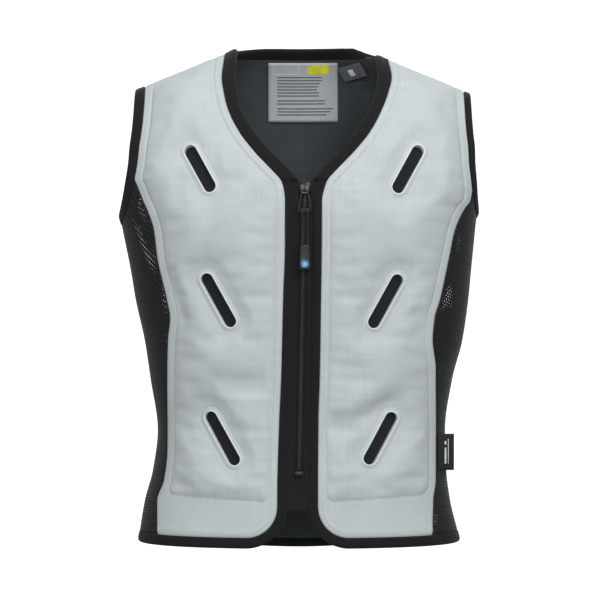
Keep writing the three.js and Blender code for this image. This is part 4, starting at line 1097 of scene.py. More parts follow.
def side_mesh(side, material):
    middle = mesh_point(side, np.linspace(0, 1, MESH_STEPS), np.full(MESH_STEPS, 0.5), np.zeros(MESH_STEPS))
    columns = round(distances(middle)[-1] / MESH_PITCH["across"])
    rows = round((mesh_top(side, np.array(0.5)) - HEM_TOP) / MESH_PITCH["down"])
    points = mesh_cells(side, rows, columns)
    one = tube_faces(len(HOLE_RINGS) + 1, len(CELL))
    cells = np.arange(len(points))[:, None, None] * points[0].size // 3
    shape = Shape().add(points, (one + cells).reshape(-1, 4))
    for low in range(1, rows, 2):
        for left, right, tilt in ((0, 0.5, CELL_TILT), (columns - 0.5, columns, -CELL_TILT)):
            across, up = half_cell(left, right, low, tilt, rows)
            shape.add(mesh_point(side, across / columns, up / rows, np.zeros(4)), [[0, 1, 2, 3]])
    piece = shape.build(f"side_mesh_{side}_cloth", material, closed=False)
    weld(piece)
    share = np.linspace(0, 1, MESH_STEPS)
    face = mesh_point(side, share[None, :], share[:, None], 0)
    return piece


def weld(piece):
    work = bmesh.new()
    work.from_mesh(piece.data)
    bmesh.ops.remove_doubles(work, verts=work.verts, dist=WELD_DISTANCE)
    work.to_mesh(piece.data)
    work.free()


# Bindings: folded tape round each edge, with a row of stitches

# Section of the tape: share of its width from the covered edge, and height in millimetres
BINDING_PROFILE = [
    (0.00, -1.9), (0.005, -0.6), (0.03, 0.25), (0.08, 0.62), (0.15, 0.72), (0.20, 0.62), (0.26, 0.62),
    (0.33, 0.86), (0.46, 1.12), (0.62, 1.2), (0.78, 1.05), (0.90, 0.55), (0.97, -0.3), (1.00, -1.6),
    (1.00, -3.2), (0.96, -4.4), (0.86, -5.0), (0.60, -5.2), (0.30, -5.2), (0.08, -5.0), (0.00, -4.2),
]
STITCH_SHARE = 0.23
STITCH = {"long": 2.7 * MM, "thick": 0.55 * MM, "pitch": 3.5 * MM, "lift": 0.75 * MM}
# Section of a stitch: place as a share of its length, share of its thickness, and rise in radii
STITCH_RINGS = [(-0.5, 0.35, -0.5), (-0.34, 0.9, 0), (0, 1.0, 0.15), (0.34, 0.9, 0), (0.5, 0.35, -0.5)]
STITCH_SIDES = 6
# Unevenness along the tape, as a wave for each row
PUCKERS = [
    {"high": 0.06 * MM, "along": 1.6 * MM, "turn": 1},
    {"high": 0.08 * MM, "along": 5.7 * MM, "turn": 2},
]
CORNER_STEPS = 24
HEM_STEPS = {"front": 90, "side": 80, "back": 180}
NECK_STEPS = {"front": 90, "back": 110}
ARM_STEPS = 70
FRONT_STEPS = 200


def resample(line, step):
    """Points along a line of points, a given step apart."""
    along = distances(line)
    even = np.linspace(0, along[-1], max(2, round(along[-1] / step)) + 1)
    return np.stack([np.interp(even, along, line[:, k]) for k in range(3)], axis=1)


def pucker(along, seed):
    return sum(wave["high"] * np.sin(along / wave["along"] + wave["turn"] * seed) for wave in PUCKERS)


def binding(name, lines, material, thread, ring=False):
    """Folded tape between the edge that it covers and its free edge, with its row of stitches."""
    edge, free = lines
    profile = np.array(BINDING_PROFILE)
    share, height = profile[:, 0][None, :, None], profile[:, 1][None, :, None] * MM
    along = distances(edge)
    out = unit(lerp(normals(edge)[:, None], normals(free)[:, None], share))
    lift = height + (height > 0) * pucker(along, len(name))[:, None, None]
    points = lerp(edge[:, None], free[:, None], share) + out * lift
    uv = np.stack(np.broadcast_arrays(along[:, None], profile[None, :, 0] * FRONT_BINDING), axis=-1)
    piece = Shape().add(points, capped_tube(*points.shape[:2], ring), uv).build(name, material)
    stitches(name + "_stitches", lerp(edge, free, STITCH_SHARE), thread, piece, ring)
    return dress(piece, "vest", "black_binding", name.replace("tape", "binding"))


def stitches(name, line, material, parent, ring):
    """Row of stitches along a line on the body, as a child of the piece that it holds."""
    if ring:
        line = np.concatenate([line, line[:1]])
    knots = resample(line, STITCH["pitch"])
    knots, span = knots[:-1], np.diff(knots, axis=0)
    along, out = unit(span), normals(knots)
    across = unit(np.cross(along, out))
    turn = np.arange(STITCH_SIDES) * 2 * math.pi / STITCH_SIDES
    circle = across[:, None] * np.cos(turn)[None, :, None] + out[:, None] * np.sin(turn)[None, :, None]
    radius = STITCH["thick"] / 2
    rings = []
    for place, wide, rise in STITCH_RINGS:
        middle = knots + 0.5 * span + along * place * STITCH["long"] + out * (STITCH["lift"] + rise * radius)
        rings.append(middle[:, None] + radius * wide * circle)
    size = len(rings) * STITCH_SIDES
    one = capped_tube(len(rings), STITCH_SIDES)
    faces = [[k + size * n for k in face] for n in range(len(knots)) for face in one]
    Shape().add(np.stack(rings, axis=1), faces).build(name, material).parent = parent


def front_binding_lines(side):
    """Edge and free edge of the binding down the front, round the corner and along the front hem."""
    rows = panel_rows(1, FRONT_STEPS, 1)
    rows = rows[(rows >= CORNER_ROW) & (rows <= 1)][::-1]
    x, z = row_ends(rows, side, front_edge, -ZIP_TOP_DROP)
    x, z = np.abs(x), np.minimum(z, -ZIP_TOP_DROP - GAP)
    centre = float(front_edge(side, CORNER_Z)) + HEM_CORNER
    share = np.arange(1, CORNER_STEPS + 1) / CORNER_STEPS
    turn = share * math.pi / 2
    seam = float(seam_edge(side, HEM_TOP)) + GAP / 2
    hem_x = SIGN[side] * np.linspace(centre, seam, HEM_STEPS["front"])[1:]
    wide = lerp(FRONT_BINDING, HEM_BINDING - GAP, share)
    found = []
    for inset, radius, hem in ((GAP, HEM_CORNER + GAP, HEM_TOP - GAP),
                               (GAP + FRONT_BINDING, HEM_CORNER + GAP + wide, -BODY_LENGTH)):
        down = sheet_point(SIGN[side] * (x - inset), z, False)
        corner_x, corner_z = centre - radius * np.cos(turn), CORNER_Z - radius * np.sin(turn)
        corner = sheet_point(SIGN[side] * corner_x, corner_z, False)
        found.append(np.concatenate([down, corner, sheet_point(hem_x, hem, False)]))
    return found


def hem_binding_lines():
    """Edge and free edge of the binding along the hem behind: left side, back and right side."""
    share = np.linspace(0, 1, HEM_STEPS["side"])
    sides = {}
    for side, order in (("left", share), ("right", share[::-1])):
        angle = mesh_angle(side, order, HEM_TOP)
        sides[side] = [side_point(side, angle, z) for z in (HEM_TOP - GAP, -BODY_LENGTH)]
    x = np.linspace(sides["left"][0][-1, 0], sides["right"][0][0, 0], HEM_STEPS["back"])[1:-1]
    back = [sheet_point(x, back_hem(x) - below, True) for below in (GAP, HEM_BINDING)]
    return [np.concatenate(parts) for parts in zip(sides["left"], back, sides["right"])]


def covered_edge(side, z):
    return front_edge(side, z) - 2 * GAP


def neck_binding_lines():
    """Edge and free edge of the neck binding: up the left front, round the back and down the right."""
    rows = panel_rows(1, 1, NECK_STEPS["front"])
    rows = rows[rows >= 1]
    fronts = {}
    for side in SIDES:
        ends = [row_ends(rows, side, edge, -ZIP_TOP_DROP) for edge in (covered_edge, neck_edge)]
        fronts[side] = [sheet_point(x, z, False) for x, z in ends]
    x = neck_column(np.linspace(0, 1, NECK_STEPS["back"])[1:-1])
    share = neck_share(x)
    free_x = np.sign(x) * share * by_side(x, **NECK_FREE)
    rise = lerp(NECK_BINDING, NECK_BINDING * NECK_TURN["keep"], share ** NECK_TURN["width"])
    top = np.minimum(back_neck(x) + rise, under_ridge(free_x, share, NECK_SINK["free"]) - GAP)
    back = sheet_point(x, back_neck(x) + 2 * GAP, True), sheet_point(free_x, top, True)
    return [np.concatenate([fronts["left"][k], back[k], fronts["right"][k][::-1]]) for k in (0, 1)]


def armhole_lines(side):
    """Edge and free edge of an armhole's binding, down the front and up the back."""
    share = 1 - np.linspace(0, 1, ARM_STEPS) ** 2
    loops = Armhole(side, ARMHOLE[side]["binding"]), Armhole(side, 0)
    return [np.concatenate([loop.point(share[::-1], False), loop.point(share[1:-1], True)]) for loop in loops]


def bindings(material, thread):
    for side in SIDES:
        binding(f"front_tape_{side}", front_binding_lines(side), material, thread)
        binding(f"armhole_tape_{side}", armhole_lines(side), material, thread, ring=True)
    binding("neck_tape", neck_binding_lines(), material, thread)
    binding("hem_tape", hem_binding_lines(), material, thread)


# Zip: tapes, moulded teeth, slider, stop

TOOTH = {"pitch": 3.0 * MM, "long": 5.4 * MM, "high": 1.5 * MM, "head": 2.1 * MM, "round": 0.4 * MM}
# Inner half of a tooth's outline: place from root to head in shares of each, and share of its half height
TOOTH_ROOT = [(-1, 0.8), (-0.1, 0.62)]
TOOTH_HEAD = [(0.3, 1.05), (0.62, 0.75)]
TOOTH_ENDS = {"top": 1.5 * MM, "bottom": 0.8 * MM}
TAPE_GRID = (130, 26)
TAPE_RIBS = [
    {"high": 0.35 * MM, "place": 1.2 * MM, "width": 0.7 * MM},
    {"high": 0.35 * MM, "place": 3.2 * MM, "width": 0.5 * MM},
]
TAPE_MEETING = GAP / 12
CORNER_SHARE = 0.45
TEETH_LOW = GAP - TAPE_SUNK
TEETH_HIGH = TEETH_LOW + CHAIN_THICK
SLIDER_FLOOR = TEETH_HIGH + GAP
# Right half of the slider's crown from the top down, as shares of its half width and half height
CROWN = [(0.55, 1), (1, 0.55), (0.86, -0.15), (0.62, -1)]
CROWN_ROUND = 2.2 * MM
# Half of the bridge's middle line: place as a share of its foot, share of the clear room, and rise
BRIDGE_LINE = [
    (1, 0, -0.6 * MM), (1, 0.5, 0), (0.93, 1, BRIDGE_BAR / 2 - 0.35 * MM),
    (0.8, 1, BRIDGE_BAR / 2), (0.4, 1, BRIDGE_BAR / 2), (0, 1, BRIDGE_BAR / 2),
]
BRIDGE_SIDES = 12
INNER_CROWN = {
    "wide": 0.72, "high": 0.74, "low": -0.2 * MM, "top": 0.35 * MM, "soft": 0.3 * MM, "round": 1.6 * MM,
}
FLANGE_ROUND = 0.6 * MM
FLANGE_SHORT = 3 * MM
STOP = {"wide": 10 * MM, "high": 5 * MM, "thick": 4 * MM, "round": 1.2 * MM, "soft": 0.9 * MM}
STOP_RIB = {
    "half": 0.7 * MM, "high": 0.6, "low": -0.1 * MM, "top": 0.3 * MM, "soft": 0.2 * MM, "round": 0.4 * MM,
}


def zip_x(z):
    return ZIP_TOP_X + (z + ZIP_TOP_DROP) * ZIP_LEAN


def zip_frame(z):
    """Frame on the zip at a height: x across, y up along the zip, z out of the vest."""
    at = sheet_point(zip_x(z), z, False)
    above = sheet_point(zip_x(z + MM), z + MM, False)
    up = Vector(above - at).normalized()
    out = Vector(normals(at))
    across = up.cross(out).normalized()
    up = out.cross(across)
    place = Matrix((across, up, out)).transposed().to_4x4()
    place.translation = Vector(at)
    return place


def zip_tape(side, material):
    z = np.linspace(-ZIP_TOP_DROP - GAP, -TAPE_BOTTOM_DROP, TAPE_GRID[0])
    binding_edge = SIGN[side] * (straight_edge(side, z) - FRONT_BINDING + TUCK / 2)
    middle = zip_x(z) + SIGN[side] * TAPE_MEETING
    x = lerp(binding_edge[:, None], middle[:, None], np.linspace(0, 1, TAPE_GRID[1]))
    body = sheet_point(x, np.broadcast_to(z[:, None], x.shape), False)
    from_chain = np.abs(x - middle[:, None]) - CHAIN_WIDTH / 2
    outer = offset(body, sum(bead(from_chain, rib) for rib in TAPE_RIBS) - TAPE_SUNK)
    inner = offset(body, -TAPE_SUNK - TAPE_WALL)
    piece = sheet_slab(f"zip_cloth_{side}", outer, inner, material)
    return piece


def box(half_wide, half_high, x=0.0, y=0.0):
    """Corners of a rectangle round a point."""
    return [(x + i * half_wide, y + j * half_high) for i, j in ((-1, -1), (1, -1), (1, 1), (-1, 1))]


def rounded_outline(points, corner, steps=4):
    """Outline with its corners rounded, as a closed list of 2D points."""
    outline = []
    corners = [Vector(point) for point in points]
    for before, here, after in zip(corners[-1:] + corners, corners, corners[1:] + corners[:1]):
        start, end = (here + (to - here).normalized() * min(corner, (to - here).length * CORNER_SHARE)
                      for to in (before, after))
        for t in np.arange(steps + 1) / steps:
            outline.append(tuple(start * (1 - t) ** 2 + here * (2 * t * (1 - t)) + end * t * t))
    return outline


def placed(place, points):
    """Points of a local frame, moved to where the frame stands."""
    return (np.array(place)[:3, :3] @ points.reshape(-1, 3).T).T + np.array(place.translation)


def bar(shape, outline, layers, place):
    """Stack of copies of an outline, each with its height and its share of the outline's size."""
    flat = np.array(outline)
    middle = flat.mean(axis=0)
    rings = [
        np.column_stack([middle + (flat - middle) * share, np.full(len(flat), height)])
        for height, share in layers
    ]
    shape.add(placed(place, np.array(rings)), capped_tube(len(layers), len(flat)))


def soft_layers(low, high, soft, bottom=False):
    """Heights and shares of a stack whose upper edge is rounded."""
    steps = [(high - soft, 1.0), (high - 0.6 * soft, 0.985), (high - 0.2 * soft, 0.95), (high, 0.88)]
    return ([(low, 0.9), (low + soft, 1.0)] if bottom else [(low, 1.0)]) + steps


def zip_chain(material):
    """Moulded teeth, left and right by turns, with heads that meet over the middle."""
    shape = Shape()
    half, root, head = TOOTH["high"] / 2, TOOTH["long"] - TOOTH["head"], TOOTH["head"]
    upper = [(root * x, half * y) for x, y in TOOTH_ROOT] + [(head * x, half * y) for x, y in TOOTH_HEAD]
    corners = [(-root, -upper[0][1])] + upper + [(x, -y) for x, y in upper[:0:-1]]
    outline = rounded_outline(corners, TOOTH["round"], 2)
    layers = soft_layers(TEETH_LOW, TEETH_HIGH, GAP, bottom=True)
    z, turn = -ZIP_TOP_DROP - TOOTH_ENDS["top"], 1
    while z > -CHAIN_BOTTOM_DROP + TOOTH_ENDS["bottom"]:
        bar(shape, outline, layers, zip_frame(z) @ Matrix.Diagonal((turn, 1, 1, 1)))
        z, turn = z - TOOTH["pitch"] / 2, -turn
    return shape.build("zip_teeth", material)


def zip_slider(material):
    """Slider: a shield-shaped crown over the teeth, a flange at each side, and the bridge."""
    shape = Shape()
    place = zip_frame(-SLIDER_DROP)
    top = SLIDER_FLOOR + SLIDER_PLATE
    half = [(SLIDER_WIDTH / 2 * x, SLIDER_HEIGHT / 2 * y) for x, y in CROWN]
    crown = [(-half[0][0], half[0][1])] + half + [(-x, y) for x, y in half[:0:-1]]
    bar(shape, rounded_outline(crown, CROWN_ROUND), soft_layers(SLIDER_FLOOR, top, 0.8 * MM), place)
    inner = [(INNER_CROWN["wide"] * x, INNER_CROWN["high"] * y) for x, y in crown]
    layers = soft_layers(top + INNER_CROWN["low"], top + INNER_CROWN["top"], INNER_CROWN["soft"])
    bar(shape, rounded_outline(inner, INNER_CROWN["round"]), layers, place)
    flange = (SLIDER_WIDTH - CHAIN_WIDTH) / 2 - GAP
    for sign in (-1, 1):
        rail = box(flange / 2, SLIDER_HEIGHT / 2 - FLANGE_SHORT, sign * (SLIDER_WIDTH - flange) / 2)
        bar(shape, rounded_outline(rail, FLANGE_ROUND), [(TEETH_LOW, 1.0), (SLIDER_FLOOR + GAP, 1.0)], place)
    bridge_tube(shape, place, top)
    return shape.build("zip_slider_body", material)


def bridge_tube(shape, place, top):
    """Low loop over the crown that holds the link, flat on its outer side."""
    clear = LINK_WIRE + 2 * LINK_PLAY
    foot = BRIDGE_LENGTH / 2 - BRIDGE_BAR / 2
    half = [(along * foot, top + share * clear + rise) for along, share, rise in BRIDGE_LINE]
    line = np.array(half + [(-y, z) for y, z in half[-2::-1]])
    turn = np.linspace(0, 2 * math.pi, BRIDGE_SIDES, endpoint=False)
    square = [np.sign(wave) * np.abs(wave) ** 0.5 for wave in (np.cos(turn), np.sin(turn))]
    across, up = square[0] * BRIDGE_WIDTH / 2, square[1] * BRIDGE_BAR / 2
    rings = [
        np.column_stack([across, y - up * to_z, z + up * to_y])
        for (y, z), (to_y, to_z) in zip(line, unit(np.gradient(line, axis=0)))
    ]
    shape.add(placed(place, np.array(rings)), capped_tube(len(rings), len(turn)))


def bottom_stop(material):
    shape = Shape()
    place = zip_frame(-CHAIN_BOTTOM_DROP - GAP - STOP["high"] / 2)
    x, y, top = STOP["wide"] / 2, STOP["high"] / 2, TEETH_LOW + STOP["thick"]
    bar(shape, rounded_outline(box(x, y), STOP["round"]), soft_layers(TEETH_LOW, top, STOP["soft"]), place)
    layers = soft_layers(top + STOP_RIB["low"], top + STOP_RIB["top"], STOP_RIB["soft"])
    for middle in (-x / 2, x / 2):
        rib = rounded_outline(box(STOP_RIB["half"], STOP_RIB["high"] * y, middle), STOP_RIB["round"])
        bar(shape, rib, layers, place)
    return shape.build("zip_stop", material)


# Pull, in its own frame: the hinge at the origin, y up along the pull, z out of the vest


BRAID_LOBES = 4
BRAID_TWIST = 3500
BRAID_DEPTH = 0.09
ALONG_AXIS = 0.2
LINK_ROUND = 3 * MM


def pull_place():
    down = BRIDGE_LENGTH / 2 - BRIDGE_BAR - LINK_WIRE / 2 - LINK_PLAY
    lift = SLIDER_FLOOR + SLIDER_PLATE + LINK_PLAY + LINK_WIRE / 2
    hinge = zip_frame(-SLIDER_DROP) @ Vector((0, -down, lift))
    return Matrix.Translation(hinge) @ Matrix.Rotation(math.pi / 2 - PULL_LEAN, 4, "X")


def smooth_line(points, steps, closed=False):
    """Points along a smooth curve through the given ones."""
    p = np.array(points, float)
    p = np.concatenate([p[-1:], p, p[:2]] if closed else [p[:1], p, p[-1:]])
    line = []
    for a, b, c, d in zip(p, p[1:], p[2:], p[3:]):
        for t in np.linspace(0, 1, steps, endpoint=False):
            bend = (2 * a - 5 * b + 4 * c - d) * t**2 + (3 * b - a - 3 * c + d) * t**3
            line.append(0.5 * (2 * b + (c - a) * t + bend))
    return np.array(line if closed else line + [p[-1]])


def round_tube(shape, line, thick, place, sides=12, closed=False, twist=0.0, lobes=0.0):
    """Tube along a line. Lobes give it the bumpy section of a braid, which twists along it."""
    ahead = np.roll(line, -1, axis=0) - np.roll(line, 1, axis=0) if closed else np.gradient(line, axis=0)
    ahead = unit(ahead)
    across = np.cross(ahead, (0, 0, 1.0))
    weak = np.linalg.norm(across, axis=1) < ALONG_AXIS
    across[weak] = np.cross(ahead[weak], (1.0, 0, 0))
    for k in range(1, len(across)):
        if across[k].dot(across[k - 1]) < 0:
            across[k] *= -1
    across = unit(across)
    along = distances(line)
    turn = np.linspace(0, 2 * math.pi, sides, endpoint=False)
    radius = thick / 2 * (1 + lobes * np.cos(BRAID_LOBES * turn + twist * along[:, None]))
    up = np.cross(ahead, across)
    circle = across[:, None] * np.cos(turn)[:, None] + up[:, None] * np.sin(turn)[:, None]
    points = placed(place, line[:, None] + radius[..., None] * circle)
    uv = np.stack(np.broadcast_arrays(along[:, None], turn[None, :] * thick / 2), axis=-1)
    shape.add(points, capped_tube(len(line), sides, closed), uv)


def pull_link(material):
    top, bottom = LINK_TOP / 2, LINK_BOTTOM / 2
    corners = [(-top, 0), (top, 0), (bottom, -LINK_HEIGHT), (-bottom, -LINK_HEIGHT)]
    line = smooth_line([(x, y, 0) for x, y in rounded_outline(corners, LINK_ROUND, 6)], 2, closed=True)
    shape = Shape()
    round_tube(shape, line, LINK_WIRE, pull_place(), closed=True)
    return shape.build("pull_link_wire", material)


def cord_route():
    x, low = CORD_SPACING / 2, -LINK_HEIGHT
    away = (LINK_WIRE + CORD_THICK) / 2 + CORD_PLAY
    side = [
        (x, low - CORD_DROP - 1.5 * MM, -GRIP_FALL), (x, low - 0.6 * CORD_DROP, -0.7 * GRIP_FALL),
        (x, low - CORD_DROP / 5, away / 3), (x, low, away), (0.9 * x, low + away, 0),
    ]
    left = [(-px, py, pz) for px, py, pz in side]
    behind = [(-0.55 * x, low + away / 3, -away), (0.55 * x, low + away / 3, -away)]
    return left + behind + side[::-1]


def pull_cord(material):
    shape = Shape()
    line, place = smooth_line(cord_route(), 14), pull_place()
    round_tube(shape, line, CORD_THICK, place, sides=16, twist=BRAID_TWIST, lobes=BRAID_DEPTH)
    piece = shape.build("pull_cord_braid", material)
    return piece


GRIP_END = -LINK_HEIGHT - CORD_DROP - GAP
GRIP_ROUND = 3 * MM
GRIP_RIBS = {
    "count": 4, "from": 5.5 * MM, "pitch": 2.4 * MM, "half": 0.5 * MM, "share": 0.62, "flare": 0.2 * MM,
    "round": 0.4 * MM, "low": -0.5 * MM, "top": 0.05 * MM, "soft": 0.25 * MM,
}
# Layers of the grip: height from its middle in half thicknesses, height beyond that in mm, and share of size
GRIP_LAYERS = [
    (-1, 0, 0.86), (-1, 0.4, 0.96), (-1, 1.2, 1.0), (1, -1.2, 1.0), (1, -0.4, 0.97), (1, 0, 0.9),
    (1, 0, 0.84), (1, -0.35, 0.8),
]
# Layers of the button: height in mm and share of its size
BUTTON_LAYERS = [
    (0, 0.96), (0.3, 1.0), (0.8, 1.0), (1.1, 0.96), (1.2, 0.9), (1.15, 0.85), (0.9, 0.82),
    (0.95, 0.4), (1.0, 0.1),
]
BUTTON_SIDES = 48
BUTTON_INSET = 2 * MM


def pull_grip(material):
    """Moulded grip with a shallow rim round its face and a few ribs below the cord."""
    shape, place = Shape(), pull_place()
    top, bottom, high = GRIP_TOP / 2, GRIP_BOTTOM / 2, -GRIP_FALL + GRIP_THICK / 2
    low_end = GRIP_END - GRIP_LENGTH
    corners = [(-top, GRIP_END), (top, GRIP_END), (bottom, low_end), (-bottom, low_end)]
    outline = rounded_outline(corners, GRIP_ROUND, 8)
    layers = [(end * GRIP_THICK / 2 - GRIP_FALL + rise * MM, share) for end, rise, share in GRIP_LAYERS]
    bar(shape, outline, layers, place)
    layers = soft_layers(high + GRIP_RIBS["low"], high + GRIP_RIBS["top"], GRIP_RIBS["soft"])
    for rib in range(GRIP_RIBS["count"]):
        half = GRIP_RIBS["share"] * (top + GRIP_RIBS["flare"] * rib)
        line = box(half, GRIP_RIBS["half"], 0, GRIP_END - GRIP_RIBS["from"] - GRIP_RIBS["pitch"] * rib)
        bar(shape, rounded_outline(line, GRIP_RIBS["round"]), layers, place)
    return shape.build("pull_grip_rubber", material)


def pull_button(material):
    """Plain round button with a raised rim."""
    shape = Shape()
    turn = np.linspace(0, 2 * math.pi, BUTTON_SIDES, endpoint=False)
    middle = [0, GRIP_END - GRIP_LENGTH + BUTTON_WIDTH / 2 + BUTTON_INSET]
    low = GRIP_THICK / 2 + CORD_PLAY - GRIP_FALL
    layers = [(low + rise * MM, share) for rise, share in BUTTON_LAYERS]
    circle = np.column_stack([np.cos(turn), np.sin(turn)]) * BUTTON_WIDTH / 2
    bar(shape, circle + middle, layers, pull_place())
    return shape.build("pull_button_disc", material)


# Labels

LABEL = {"wide": 87 * MM, "high": 72 * MM, "shift": 5 * MM, "hang": 1.8 * MM, "wall": 0.9 * MM}
LABEL_DEPTH = PANEL_WALL + LINING_SPACE + LINING_WALL + LABEL["hang"]
LABEL_FRAME = {"left": 0.07, "right": 0.44, "bottom": 0.81, "top": 0.985, "rim": 0.008, "post": 0.0056}
LABEL_FIELD = (0.56, 0.87, 0.82, 0.973)
LABEL_ROWS = {
    "top": 0.77, "pitch": 0.052, "high": 0.02, "left": 0.13, "shortest": 0.85, "between": 0.6, "seed": 5,
}
LABEL_BLOCKS = [{"rows": 7, "reach": 0.66}, {"rows": 2, "reach": 0.8}, {"rows": 3, "reach": 0.8}]
LABEL_SAG = (0.8 * MM, 0.5 * MM)
SIZE_TAG_MARK = (0.38, 0.60, 0.26, 0.74)
SIDE_TAG_STRIPES = [(0.42, 0.52, 0.18, 0.62), (0.62, 0.66, 0.18, 0.86), (0.42, 0.52, 0.70, 0.80)]
TAG_CURL = 0.5 * MM
FRAY = {"high": 0.12 * MM, "along": 0.9 * MM, "width": 0.02}
PATCH_CUT = 24
SIZE_TAG = {"wide": 34 * MM, "high": 20 * MM, "x": 0.3224 * HALF_WIDTH, "turn": math.radians(13),
            "hang": 5.5 * MM}
SIDE_TAG = {"wide": 19 * MM, "high": 43 * MM, "drop": 445 * MM}
PRINT_LIFT = 0.12 * MM
PRINT_GRID = (3, 8)


def label_rows():
    """Plain bars in blocks, of slightly different lengths."""
    rows, v = [], LABEL_ROWS["top"]
    random = np.random.default_rng(LABEL_ROWS["seed"])
    left, shortest = LABEL_ROWS["left"], LABEL_ROWS["shortest"]
    for block in LABEL_BLOCKS:
        for _ in range(block["rows"]):
            reach = block["reach"] * (shortest + (1 - shortest) * random.random())
            rows.append((left, left + reach, v - LABEL_ROWS["high"], v))
            v -= LABEL_ROWS["pitch"]
        v -= LABEL_ROWS["between"] * LABEL_ROWS["pitch"]
    return rows


def frame_bars():
    left, right, bottom, top = (LABEL_FRAME[name] for name in ("left", "right", "bottom", "top"))
    rim, post = LABEL_FRAME["rim"], LABEL_FRAME["post"]
    level = [(left, right, top - rim, top), (left, right, bottom, bottom + rim)]
    return level + [(left, left + post, bottom, top), (right - post, right, bottom, top)]


def label(name, place, high, material, prints):
    """Small cloth label with prints. Place gives the point and outward direction at shares of its size."""
    u, v = np.meshgrid(np.linspace(0, 1, PATCH_CUT), np.linspace(0, 1, PATCH_CUT))
    face, out = place(u, v)
    fray = FRAY["high"] * np.sin(v * high / FRAY["along"]) * bell(u * (1 - u), FRAY["width"])
    outer = face + out * fray[..., None]
    piece = sheet_slab(f"{name}_cloth", outer, face - out * LABEL["wall"], material)
    dress(piece, "vest", name, name)
    made = [
        dress(printed_bars(f"{name}_{part}", place, bars, ink), "vest", name) for part, bars, ink in prints
    ]


def printed_bars(name, place, bars, material):
    """Plain bars lying on a label, each given as left, right, bottom and top shares."""
    shape = Shape()
    for left, right, bottom, top in bars:
        rows, columns = PRINT_GRID
        u, v = np.meshgrid(np.linspace(left, right, columns), np.linspace(bottom, top, rows))
        face, out = place(u, v)
        shape.add(face + out * PRINT_LIFT, grid_faces(rows, columns))
    return shape.build(name, material, closed=False)


def neck_label_place(u, v):
    top = float(back_neck(np.array(LABEL["shift"]))) - 1 * MM
    sag = (LABEL_SAG[0] * np.sin(math.pi * u) + LABEL_SAG[1] * np.sin(5 * u)) * (1 - v)
    p = sheet_point(LABEL["shift"] + LABEL["wide"] * (u - 0.5), top - LABEL["high"] * (1 - v), True)
    out = -normals(p)
    return p + out * (LABEL_DEPTH + sag)[..., None], out


def size_tag_place(u, v):
    """Flat tag hanging inside the neck, with a slight curl."""
    along, up = (u - 0.5) * SIZE_TAG["wide"], (v - 0.5) * SIZE_TAG["high"]
    height = float(back_neck(np.array(SIZE_TAG["x"]))) - SIZE_TAG["high"] / 2
    middle = sheet_point(SIZE_TAG["x"], height, True)
    out = normals(middle)
    level = unit(np.cross(out, [0, 0, 1.0]))
    upright = np.cross(level, out)
    cosine, sine = math.cos(SIZE_TAG["turn"]), math.sin(SIZE_TAG["turn"])
    across, rise = level * cosine + upright * sine, upright * cosine - level * sine
    curl = TAG_CURL * np.sin(math.pi * u) * np.sin(2.2 * v)
    depth = BINDING_WALL - BINDING_PROUD + SIZE_TAG["hang"] + LABEL["wall"] / 2 + curl
    p = middle + across * along[..., None] + rise * up[..., None] - out * depth[..., None]
    return p, np.broadcast_to(-out, p.shape)


def side_tag_place(u, v):
    z = -SIDE_TAG["drop"] - SIDE_TAG["high"] * (1 - v)
    middle = -SIDE_TAG["drop"] - SIDE_TAG["high"] / 2
    seam = sheet_point(seam_edge("right", middle) + GAP, middle, False)
    curl = TAG_CURL * np.sin(math.pi * u) * np.sin(math.pi * v)
    p = np.stack([seam[0] + GAP + SIDE_TAG["wide"] * u, seam[1] - 3 * GAP - curl, z], axis=-1)
    return p, np.broadcast_to([0.0, -1.0, 0.0], p.shape)


def labels(paint):
    neck_prints = [("rows", label_rows(), paint["print_dark"]), ("frame", frame_bars(), paint["print_white"]),
                   ("field", [LABEL_FIELD], paint["print_yellow"])]
    label("neck_label", neck_label_place, LABEL["high"], paint["label"], neck_prints)
    mark = [("mark", [SIZE_TAG_MARK], paint["print_white"])]
    label("size_tag", size_tag_place, SIZE_TAG["high"], paint["tag"], mark)
    stripes = [("stripes", SIDE_TAG_STRIPES, paint["print_pale"])]
    label("side_tag", side_tag_place, SIDE_TAG["high"], paint["side_tag"], stripes)


# Materials


class Nodes:
    """Short way to write a node material."""

    def __init__(self, name):
        self.material = bpy.data.materials.new(name)
        self.material.use_nodes = True
        self.tree = self.material.node_tree
        self.shader = self.tree.nodes["Principled BSDF"]

    def node(self, kind, inputs=None, **settings):
        made = self.tree.nodes.new(kind)
        for key, value in settings.items():
            setattr(made, key, value)
        for key, value in (inputs or {}).items():
            if isinstance(value, bpy.types.NodeSocket):
                self.tree.links.new(value, made.inputs[key])
            else:
                made.inputs[key].default_value = value
        return made

    def math(self, operation, a, b=0.0):
        return self.node("ShaderNodeMath", {0: a, 1: b}, operation=operation).outputs[0]

    def times(self, a, b):
        return self.math("MULTIPLY", a, b)

    def mix(self, share, a, b):
        return self.node("ShaderNodeMix", {0: share, 6: a, 7: b}, data_type="RGBA").outputs[2]

    def noise(self, place, scale, detail=3.0, rough=0.5):
        inputs = {"Vector": place, "Scale": scale, "Detail": detail, "Roughness": rough}
        return self.node("ShaderNodeTexNoise", inputs).outputs["Fac"]

    def ramp(self, value, low, high, to_low=0.0, to_high=1.0):
        return self.node("ShaderNodeMapRange", {0: value, 1: low, 2: high, 3: to_low, 4: to_high}).outputs[0]

    def set(self, **values):
        for key, value in values.items():
            socket = self.shader.inputs[key.replace("_", " ")]
            if isinstance(value, bpy.types.NodeSocket):
                self.tree.links.new(value, socket)
            else:
                socket.default_value = value

    def bump(self, height, distance):
        inputs = {"Height": height, "Distance": distance, "Strength": 1.0}
        return self.node("ShaderNodeBump", inputs).outputs[0]


def rgba(color):
    return (*color, 1.0)


def shade(color, share):
    return rgba([min(1.0, part * share) for part in color])


